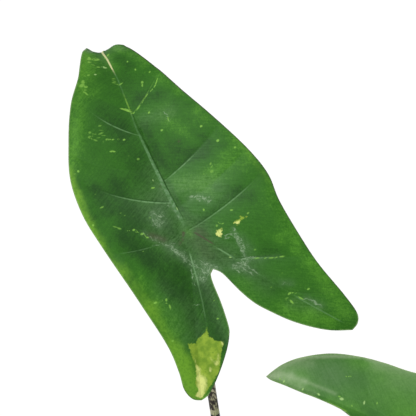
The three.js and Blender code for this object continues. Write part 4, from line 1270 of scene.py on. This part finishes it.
class Value:
    """A node's output. Arithmetic on it and its methods add nodes to the material."""

    __add__, __radd__ = arithmetic("ADD"), arithmetic("ADD", swapped=True)
    __sub__, __mul__ = arithmetic("SUBTRACT"), arithmetic("MULTIPLY")
    __truediv__ = arithmetic("DIVIDE")
    at_least, at_most = arithmetic("MAXIMUM"), arithmetic("MINIMUM")

    def __init__(self, finish, socket):
        self.finish, self.socket = finish, socket

    def __abs__(self):
        return self.finish.math("ABSOLUTE", self)

    def spread(self, amount):
        """A noise as plus and minus values about zero."""
        return (self - 0.5) * amount

    def ramp(self, start, end, low=0.0, high=1.0):
        """Low at start, high at end, smooth in between and flat beyond them."""
        inputs = dict(enumerate((self, start, end, low, high)))
        return self.finish.add("MapRange", inputs, interpolation_type="SMOOTHSTEP")

    def split(self):
        """The three parts of a vector."""
        outputs = self.finish.node("SeparateXYZ", {"Vector": self}).outputs
        return [Value(self.finish, socket) for socket in outputs]

    def length(self):
        """The length of a vector."""
        return self.finish.add("VectorMath", {0: self}, "Value", operation="LENGTH")

    def noise(self, scale, detail=3.0, roughness=0.55):
        """Noise at a place."""
        inputs = {"Vector": self, "Scale": scale, "Detail": detail, "Roughness": roughness}
        return self.finish.add("TexNoise", inputs)

    def cells(self, scale, feature="F1", output="Distance"):
        """A pattern of cells at a place."""
        inputs = {"Vector": self, "Scale": scale}
        return self.finish.add("TexVoronoi", inputs, output, feature=feature)

    def stretched(self, x, y, z=1.0):
        """A vector scaled along each axis."""
        return self.finish.add("Mapping", {"Vector": self, "Scale": (x, y, z)})

    def turned(self, degrees):
        """A vector turned about Z."""
        turn = (0, 0, np.radians(degrees))
        return self.finish.add("Mapping", {"Vector": self, "Rotation": turn})

    def relief(self, distance_mm, strength):
        """The normal of a surface with this height."""
        inputs = {"Height": self, "Distance": distance_mm * MM, "Strength": strength}
        return self.finish.add("Bump", inputs)


class Finish:
    """A material under construction, with short ways to add its nodes."""

    def __init__(self, name, **constants):
        self.material = bpy.data.materials.new(name)
        self.material.use_nodes = True
        self.nodes = self.material.node_tree.nodes
        self.shader = self.nodes["Principled BSDF"]
        for socket, value in constants.items():
            self.put(self.shader.inputs[socket.replace("_", " ")], value)

    def put(self, socket, value):
        """Links a value to a socket, or sets a constant there."""
        if isinstance(value, Value):
            self.material.node_tree.links.new(value.socket, socket)
        else:
            socket.default_value = value

    def node(self, kind, inputs, **settings):
        """A new node. Inputs go by name or place, settings by name."""
        node = self.nodes.new(f"ShaderNode{kind}")
        for key, value in settings.items():
            setattr(node, key, value)
        for key, value in inputs.items():
            self.put(node.inputs[key], value)
        return node

    def add(self, kind, inputs, output=0, **settings):
        """A new node's output."""
        return Value(self, self.node(kind, inputs, **settings).outputs[output])

    def math(self, operation, *values):
        """A Math node's output."""
        return self.add("Math", dict(enumerate(values)), operation=operation)

    def mix(self, share, first, second):
        """One colour turning into another."""
        return self.add("Mix", {0: share, 6: first, 7: second}, 2, data_type="RGBA")

    def number(self, name):
        """A number stored on the mesh."""
        return self.add("Attribute", {}, "Fac", attribute_name=name)

    def vector(self, name):
        """A vector stored on the mesh."""
        return self.add("Attribute", {}, "Vector", attribute_name=name)

    def combined(self, x, y=0.0, z=0.0):
        """A vector of three parts."""
        return self.add("CombineXYZ", {"X": x, "Y": y, "Z": z})

    def place(self):
        """The object's own coordinates in millimetres."""
        metres = self.add("TexCoord", {}, "Object")
        scale = (1 / MM, 1 / MM, 1 / MM)
        return self.add("VectorMath", {0: metres, 1: scale}, "Vector", operation="MULTIPLY")

    def done(self, colour, roughness=None, normal=None):
        """The material, with what its surface shows."""
        for socket, value in (("Base Color", colour), ("Roughness", roughness),
                              ("Normal", normal)):
            if value is not None:
                self.put(self.shader.inputs[socket], value)
        return self.material


DEEP_GREEN = srgb(31, 73, 22)
LEAF_GREEN = srgb(50, 108, 26)
LIGHT_GREEN = srgb(90, 154, 44)
LIME_GREEN = srgb(112, 166, 44)
# The grey of the bloom, which also paints sheen.
BLOOM_AND_SHEEN_GREEN = srgb(114, 146, 104)
SHEEN_GREEN = srgb(96, 142, 88)
VEIN_GREEN = srgb(116, 160, 106)
BRIGHT_VEIN = srgb(142, 196, 80)
RIB_GREEN = srgb(88, 136, 80)
RIB_LIGHT = srgb(124, 164, 118)
RIB_CREAM = srgb(228, 230, 168)
FLECK_GREEN = srgb(138, 194, 80)
FLECK_CREAM = srgb(168, 208, 128)
PATCH_LIME = srgb(146, 176, 58)
PATCH_OLIVE = srgb(112, 148, 44)
PATCH_CREAM = srgb(222, 230, 136)
HAZE_GREEN = srgb(100, 132, 94)
# The pale green of the veil, a painted highlight.
HIGHLIGHT_VEIL_GREEN = srgb(158, 182, 140)
DUST_GREY = srgb(156, 182, 146)
FLUSH_BROWN = srgb(84, 64, 60)
RIM_PURPLE = srgb(72, 66, 62)
# The pale green of the painted highlight along the margin.
RIM_HIGHLIGHT = srgb(166, 196, 130)
UNDER_GREEN = srgb(112, 148, 92)
UNDER_VEIN = srgb(150, 168, 112)


class LeafFinish(Finish):
    """The upper face of a leaf, painted layer by layer."""

    def __init__(self, leaf):
        super().__init__(f"{leaf['name']}_top", Specular_IOR_Level=0.12)
        self.length = leaf["length"]
        self.mottle = leaf.get("mottle", 1.0)
        self.flat = self.vector("flat")
        self.u, self.v, _ = self.flat.split()
        self.broad = self.flat.noise(0.035, 4)
        self.middle = self.flat.noise(0.16, 4)
        self.small = self.flat.noise(0.45, 3, 0.6)
        self.fine = self.flat.noise(0.9, 4, 0.65)
        slanted = self.combined(self.u, abs(self.v)).turned(STREAK_TURN)
        self.streaks = slanted.stretched(0.07, 0.8).noise(1, 3, 0.6)
        self.jitter = self.fine.spread(3)
        self.broken = self.flat.noise(0.3).ramp(0.3, 0.55, 0.35, 1)

    def dot_mask(self, name, jitter, sway=0.0):
        """1 on the small long marks that dot_field laid out, with uneven rims and a sway."""
        along, across, far = self.vector(name).split()
        nearest = self.combined(along, across + sway).length().at_least(far - 3.2)
        return (nearest + jitter).ramp(1.5, 0.6)

    def ground(self):
        """Mottled green, lighter and darker in places, lime along the margin."""
        # The lighter and darker strokes hold painted sheen and shade as well as the leaf's tone.
        tone = self.number("lighter") - self.number("darker")
        for noise, amount in ((self.broad, 0.6), (self.middle, 0.55), (self.small, 0.7),
                              (self.streaks, 0.6), (self.fine, 0.75)):
            tone += noise.spread(amount * self.mottle)
        colour = self.mix(tone.ramp(-0.9, 0.15), DEEP_GREEN, LEAF_GREEN)
        colour = self.mix(tone.ramp(0, 1), colour, LIGHT_GREEN)
        lime = (self.number("lime") + self.middle.spread(0.4)).ramp(0.1, 0.9)
        lime *= self.small.ramp(0.3, 0.6, 0.55, 0.95)
        return self.mix(lime, colour, LIME_GREEN)

    def bloom(self, colour):
        """A cloudy bloom that greys the green, partly a painted sheen."""
        cloud = self.small * 0.5 + self.streaks * 0.5
        cloud = cloud.ramp(0.36, 0.62, 1 - 0.7 * self.mottle, 1)
        return self.mix((self.number("bloom") + 0.03) * cloud * 0.6, colour, BLOOM_AND_SHEEN_GREEN)

    def side_veins(self, colour):
        """Sheen on each vein's stalk side, a shadow on its tip side and its pale line."""
        sheen = self.number("sheen") * self.streaks.ramp(0.3, 0.65, 0.45, 1)
        colour = self.mix(sheen * 0.6, colour, SHEEN_GREEN)
        strength = (self.number("vein_strength") + self.number("vein_light")).at_most(1)
        wander = self.number("vein") + self.jitter * 0.15
        tipward = wander * self.number("vein_turn")
        shade = abs(tipward - 1.05).ramp(0.6, 0.1) * strength
        colour = self.mix(shade * 0.7, colour, DEEP_GREEN)
        half_width = 0.22 + strength * 0.35
        line = (abs(wander) / half_width).ramp(1.5, 0.5) * (strength * self.broken)
        lime = self.u.ramp(104, 107) * self.v.ramp(-13, -9)
        return self.mix(line * 0.85, colour, self.mix(lime, VEIN_GREEN, BRIGHT_VEIN))

    def main_ribs(self, colour):
        """The midrib, cream near the tip and grey-green lower down, and the basal ribs."""
        u = self.u
        share = u / self.length
        half_width = share.ramp(0.1, 0.5, 1.4, 0.55) + share.ramp(0.62, 0.74, 0, 0.3)
        midrib = (self.number("midrib") + self.jitter * 0.2) / half_width
        # A painted shadow along the midrib's right side, in its groove.
        midrib_shadow = abs(midrib + 1.35).ramp(0.6, 0.1) * share.ramp(0.6, 0.1, 0.1, 0.75)
        colour = self.mix(midrib_shadow * u.ramp(6, 24), colour, DEEP_GREEN)
        on_rib = abs(midrib).ramp(1.4, 0.5) * u.ramp(2, 22)
        cream = (share + self.small.spread(0.03)).ramp(0.605, 0.65)
        lime = share.ramp(0.43, 0.47) * share.ramp(0.54, 0.5)
        worn = self.small.ramp(0.4, 0.62) * u.ramp(80, 45, 0.3, 1)
        colours = self.mix(worn, RIB_GREEN, RIB_LIGHT)
        colours = self.mix(lime, colours, BRIGHT_VEIN)
        colours = self.mix(cream, colours, RIB_CREAM)
        amount = (lime * 0.6).at_least(share.ramp(0.42, 0.28, 0.5, 0.95)) * self.broken
        colour = self.mix(on_rib * amount.at_least(cream), colour, colours)
        basal = abs(self.number("basal") + self.jitter * 0.15)
        lit = share.ramp(-0.45, -0.1) * 0.1 + self.number("vein_light")
        line = basal.ramp(0.8, 0.25) * share.ramp(-0.05, -0.075) * lit.at_most(1)
        return self.mix(line * 0.85, colour, VEIN_GREEN)

    def dust(self, colour):
        """A painted pale highlight, and a thin grey film that dried in nets, threads and smears."""
        dust, small, flat = self.number("dust"), self.small, self.flat
        # The veil paints a pale highlight.
        highlight_veil = self.number("highlight_veil") * small.ramp(0.3, 0.7, 0.75, 1)
        colour = self.mix(highlight_veil, colour, HIGHLIGHT_VEIL_GREEN)
        film = dust * small.ramp(0.3, 0.7, 0.6, 1)
        colour = self.mix(film * 0.7, colour, HAZE_GREEN)
        pits = film * flat.noise(0.8, 2).ramp(0.55, 0.66)
        colour = self.mix(pits * 0.6, colour, DEEP_GREEN)
        worms = abs(flat.noise(0.4, 2, 0.5).spread(1))
        crust = dust + flat.noise(0.22, 2).spread(1.6) + self.fine.spread(0.8)
        crust = crust.ramp(0.45, 0.85) * worms.ramp(0.04, 0, 0.12, 1) * dust.ramp(0.1, 0.5)
        fibres = self.dot_mask("fibres", self.jitter * 0.8, flat.noise(0.33, 1).spread(9))
        crust = crust.at_least(fibres * small.ramp(0.4, 0.6, 0.25, 0.95))
        self.film = film.at_least(crust)
        return self.mix(crust * 0.7, colour, DUST_GREY)

    def marks(self, colour):
        """A brown flush, and flecks of green and of cream."""
        flush = self.number("flush")
        flush *= (flush + self.fine.spread(0.9)).ramp(0.2, 0.7, 0.35, 1)
        colour = self.mix(flush * 0.75, colour, FLUSH_BROWN)
        long = self.flat.stretched(1, 0.55)
        colour_of_cell = long.cells(0.33, output="Color")
        rare = self.add("SeparateColor", {"Color": colour_of_cell})
        chosen = (rare + self.number("flecks") * 0.14).ramp(0.96, 1)
        specks = long.cells(0.33).ramp(0.2, 0.06) * chosen
        colour = self.mix(specks * 0.35, colour, FLECK_GREEN)
        uneven = self.jitter * 0.55
        dots = self.dot_mask("dots", uneven) * self.broad.ramp(0.35, 0.6, 0.45, 0.85)
        colour = self.mix(dots, colour, FLECK_GREEN)
        return self.mix(self.dot_mask("pale_dots", uneven) * 0.85, colour, FLECK_CREAM)

    def patches(self, colour):
        """Ragged patches that turn from lime to cream."""
        fine, small = self.fine, self.small
        ragged = fine.spread(2.6) + small.spread(1.6)
        inside = (self.number("pale") + ragged).ramp(0.35, -0.35)
        streaky = self.flat.stretched(0.25, 0.5).noise(0.8, 4, 0.6)
        cream = self.number("cream") + streaky.spread(1.1) + fine.spread(0.5)
        patch = self.mix(self.middle.ramp(0.35, 0.65), PATCH_LIME, PATCH_OLIVE)
        patch = self.mix(cream.ramp(0.3, 1), patch, PATCH_CREAM)
        patch = self.mix(small.ramp(0.55, 0.75, 0, 0.4), patch, LEAF_GREEN)
        return self.mix(inside, colour, patch)

    def rim(self, colour):
        """A pale line along the margin, a painted highlight, dark in parts."""
        line, dark = self.number("edge").ramp(1.1, 0.3), self.number("rim")
        # A painted highlight along the margin where it isn't dark.
        pale = dark.ramp(0.25, 0.05, 0, 0.45) * self.small.ramp(0.3, 0.6, 0.4, 1)
        colour = self.mix(line * pale, colour, RIM_HIGHLIGHT)
        amount = dark * 0.8 + self.broad.ramp(0.4, 0.6, 0, 0.1)
        return self.mix(line * amount, colour, RIM_PURPLE)

    def texture(self):
        """Roughness, and the relief of the fine net of veins."""
        roughness = self.fine.ramp(0.3, 0.7, 0.4, 0.5) + self.film * 0.25
        net = self.flat.stretched(1, 0.7).cells(0.55, "DISTANCE_TO_EDGE")
        pattern = net.ramp(0, 0.08, -0.4, 0) + self.fine * 0.5
        return roughness, pattern.relief(0.12, 0.5)


def blade_top(leaf):
    """The upper face: mottled green with veins, dust, flecks and cream patches."""
    finish = LeafFinish(leaf)
    colour = finish.ground()
    for layer in (finish.bloom, finish.side_veins, finish.main_ribs, finish.dust, finish.marks,
                  finish.patches, finish.rim):
        colour = layer(colour)
    return finish.done(colour, *finish.texture())


def blade_under(leaf):
    """The lower face: paler and matt, with ribs that are paler still."""
    finish = Finish(f"{leaf['name']}_under", Specular_IOR_Level=0.25)
    mix, number, flat = finish.mix, finish.number, finish.vector("flat")
    u, v, _ = flat.split()
    fine = flat.noise(1.1, 4, 0.65)
    mid_green = mix(0.5, UNDER_GREEN, LEAF_GREEN)
    colour = mix(flat.noise(0.12, 4).ramp(0.3, 0.7), UNDER_GREEN, mid_green)
    colour = mix(abs(number("vein")).ramp(1.6, 0.4) * 0.8, colour, UNDER_VEIN)
    colour = mix(abs(v).ramp(2.6, 1.2) * u.ramp(-4, 2), colour, UNDER_VEIN)
    colour = mix(number("pale").ramp(0.8, -0.8, 0, 0.7), colour, PATCH_CREAM)
    colour = mix(number("edge").ramp(1.2, 0.2, 0, 0.5), colour, RIM_PURPLE)
    pattern = flat.cells(0.5, "DISTANCE_TO_EDGE").ramp(0.1, 0) + fine * 0.5
    return finish.done(colour, fine.ramp(0.3, 0.7, 0.55, 0.68), pattern.relief(0.15, 0.5))


def blade_rim():
    """The thin edge of a blade, green and in places purplish brown."""
    finish = Finish("blade_rim", Specular_IOR_Level=0.15, Roughness=0.5)
    share = finish.vector("flat").noise(0.06).ramp(0.4, 0.6)
    green = finish.mix(share, srgb(70, 122, 44), srgb(112, 152, 64))
    return finish.done(finish.mix(finish.number("rim"), green, RIM_PURPLE))


def stalk_skin():
    """Cream stalks crossed by ragged, slanting dark bands."""
    finish = Finish("stalk_skin", Specular_IOR_Level=0.35)
    mix, place = finish.mix, finish.vector("straight")
    x, y, along = place.split()
    wander = place.stretched(1, 1, 0.6).noise(0.35, 3, 0.6)
    slant = x * 0.9 + wander * 9
    bands = finish.combined(wander * 1.6, z=along + slant).noise(0.28, 2, 0.5)
    ragged = finish.combined(x, y, along * 0.5 + x).noise(0.5, 4, 0.6)
    dark = (bands + ragged.spread(1) + finish.number("bands")).ramp(0.43, 0.54)
    grain = place.stretched(1, 1, 0.12).noise(1.6, 4, 0.6)
    light = grain.ramp(0.35, 0.65)
    cream = mix(light, srgb(126, 120, 96), srgb(202, 194, 164))
    cream = mix(place.noise(0.05).ramp(0.45, 0.65, 0, 0.5), cream, srgb(138, 150, 96))
    colour = mix(dark, cream, mix(light, srgb(12, 10, 9), srgb(54, 45, 38)))
    relief = (grain + dark * 0.3).relief(0.2, 0.5)
    return finish.done(colour, grain.ramp(0.3, 0.7, 0.42, 0.6), relief)


def clay_skin():
    """Fired clay: warm, dusty, with pale bloom low down and on the band."""
    finish = Finish("clay_skin", Specular_IOR_Level=0.2)
    mix, place = finish.mix, finish.place()
    height = place.split()[2]
    middle, fine = place.noise(0.18, 5, 0.6), place.noise(1.3, 4, 0.7)
    turning = place.stretched(0.02, 0.02, 1.2).noise(1)
    colour = mix(place.noise(0.03, 4).ramp(0.35, 0.65), srgb(174, 98, 64), srgb(196, 122, 84))
    colour = mix(middle.ramp(0.4, 0.7, 0, 0.5), colour, srgb(158, 84, 54))
    colour = mix(turning.ramp(0.4, 0.65, 0, 0.3), colour, srgb(208, 142, 106))
    low = height.ramp(46, 4) * middle.ramp(0.42, 0.6)
    high = abs(height - 118).ramp(16, 2) * middle.ramp(0.5, 0.66)
    bloom = low.at_least(high) * fine.ramp(0.35, 0.6, 0.4, 1)
    colour = mix(bloom * 0.6, colour, srgb(222, 206, 190))
    colour = mix(place.cells(0.5).ramp(0.16, 0.08, 0, 0.5), colour, srgb(128, 66, 44))
    relief = (fine + turning * 0.6).relief(0.3, 0.5)
    return finish.done(colour, fine.ramp(0.3, 0.7, 0.78, 0.92), relief)


def earth_skin():
    """Dark damp potting soil."""
    finish = Finish("earth_skin", Specular_IOR_Level=0.15)
    mix, place = finish.mix, finish.place()
    fine = place.noise(1.4, 5, 0.7)
    colour = mix(place.noise(0.25, 5, 0.65).ramp(0.35, 0.65), srgb(44, 32, 25), srgb(70, 52, 40))
    colour = mix(fine.ramp(0.5, 0.72, 0, 0.6), colour, srgb(98, 76, 58))
    return finish.done(colour, 0.92, fine.relief(0.8, 0.8))


def lump_skin(name, dark, light, grain=1.2):
    """Loose lumps that each have a tint between two colours."""
    finish = Finish(name, Specular_IOR_Level=0.15)
    fine = finish.place().noise(grain, 4, 0.65)
    share = (finish.number("tint") * 0.7 + fine.spread(0.9)).ramp(0, 0.8)
    return finish.done(finish.mix(share, dark, light), 0.9, fine.relief(0.4, 0.6))


def cork_skin():
    """The brown, ringed skin of the stem's base."""
    finish = Finish("cork_skin", Specular_IOR_Level=0.2)
    mix, place = finish.mix, finish.place()
    rings = place.stretched(0.12, 0.12, 1.4).noise(0.9, 4, 0.6)
    fine = place.noise(1.6, 4, 0.7)
    colour = mix(rings.ramp(0.35, 0.65), srgb(82, 60, 42), srgb(134, 106, 76))
    colour = mix(fine.ramp(0.5, 0.7, 0, 0.5), colour, srgb(58, 42, 30))
    return finish.done(colour, 0.82, (rings + fine).relief(0.5, 0.7))


# Floor, light and camera

def add_floor():
    """A plain pale floor."""
    finish = Finish("floor_paint", Specular_IOR_Level=0.1, Emission_Color=(1, 1, 1, 1),
                    Emission_Strength=0.25)
    speckle = finish.add("TexCoord", {}, "Object").noise(3)
    material = finish.done(finish.mix(speckle, srgb(246, 246, 246), srgb(250, 250, 250)), 0.9)
    half = 9000
    corners = [(-half, -half, 0), (half, -half, 0), (half, half, 0), (-half, half, 0)]
    floor = new_object("floor", new_mesh("floor", corners, [(0, 1, 2, 3)], [material]))


def add_world(seen, shining):
    """A white studio that is seen brighter than it shines."""
    world = bpy.data.worlds.new("studio")
    bpy.context.scene.world = world
    world.use_nodes = True
    tree = world.node_tree
    path = tree.nodes.new("ShaderNodeLightPath")
    strength = tree.nodes.new("ShaderNodeMapRange")
    strength.inputs["To Min"].default_value = shining
    strength.inputs["To Max"].default_value = seen
    tree.links.new(path.outputs["Is Camera Ray"], strength.inputs["Value"])
    background = tree.nodes["Background"]
    background.inputs["Color"].default_value = (1, 1, 1, 1)
    tree.links.new(strength.outputs[0], background.inputs["Strength"])


def add_aimed(name, data, azimuth, elevation):
    """A light or camera that looks back from a direction, and that direction.

    Azimuth 0 is the camera's side and 90 its right.
    """
    turn, rise = np.radians([azimuth, elevation])
    back = Vector((np.sin(turn) * np.cos(rise), -np.cos(turn) * np.cos(rise), np.sin(rise)))
    item = new_object(name, data)
    item.rotation_mode = "QUATERNION"
    item.rotation_quaternion = (-back).to_track_quat("-Z", "Y")
    return item, back


def add_sun(name, azimuth, elevation, strength, spread):
    """A soft sun."""
    light = bpy.data.lights.new(name, "SUN")
    light.energy = strength
    light.angle = np.radians(spread)
    add_aimed(name, light, azimuth, elevation)


def add_camera():
    """The camera, looking at the leaf from the front and a little above."""
    data = bpy.data.cameras.new("camera")
    data.sensor_width = CAMERA["sensor"]
    data.lens = CAMERA["sensor"] * CAMERA["distance"] / CAMERA["frame_width"]
    data.clip_start, data.clip_end = 0.05, 60
    camera, back = add_aimed("camera", data, 0, CAMERA["elevation"])
    camera.location = (Vector(CAMERA["target"]) + back * CAMERA["distance"]) * MM
    bpy.context.scene.camera = camera


def build_plant():
    """Every visible piece of the plant and its pot."""
    rim = blade_rim()
    surfaces = []
    for leaf in (LEAF_1, LEAF_2, LEAF_3, LEAF_4):
        surface = build_blade(leaf, [blade_top(leaf), blade_under(leaf), rim])
        surfaces.append((leaf, surface))
    build_stalks(surfaces, stalk_skin())
    build_rhizome(cork_skin())
    build_pot(clay_skin())
    build_soil(earth_skin())
    skins = {
        "crumb_skin": lump_skin("crumb_skin", srgb(38, 27, 21), srgb(92, 68, 50)),
        "bark_skin": lump_skin("bark_skin", srgb(70, 44, 28), srgb(138, 94, 60), 0.9),
        "perlite_skin": lump_skin("perlite_skin", srgb(196, 190, 178), srgb(238, 235, 228)),
    }
    for name, lump in LUMPS.items():
        scatter(name, skins[lump["skin"]], lump["seed"], lump["count"], lump["sizes"],
                lump["flatness"], lump_shapes(*lump["shapes"]))


build_plant()
add_floor()
add_world(seen=1.0, shining=0.42)
add_sun("key", -50, 42, 1.35, 40)
add_sun("top", 20, 80, 0.5, 60)
add_camera()
bpy.context.scene.view_settings.view_transform = "Standard"
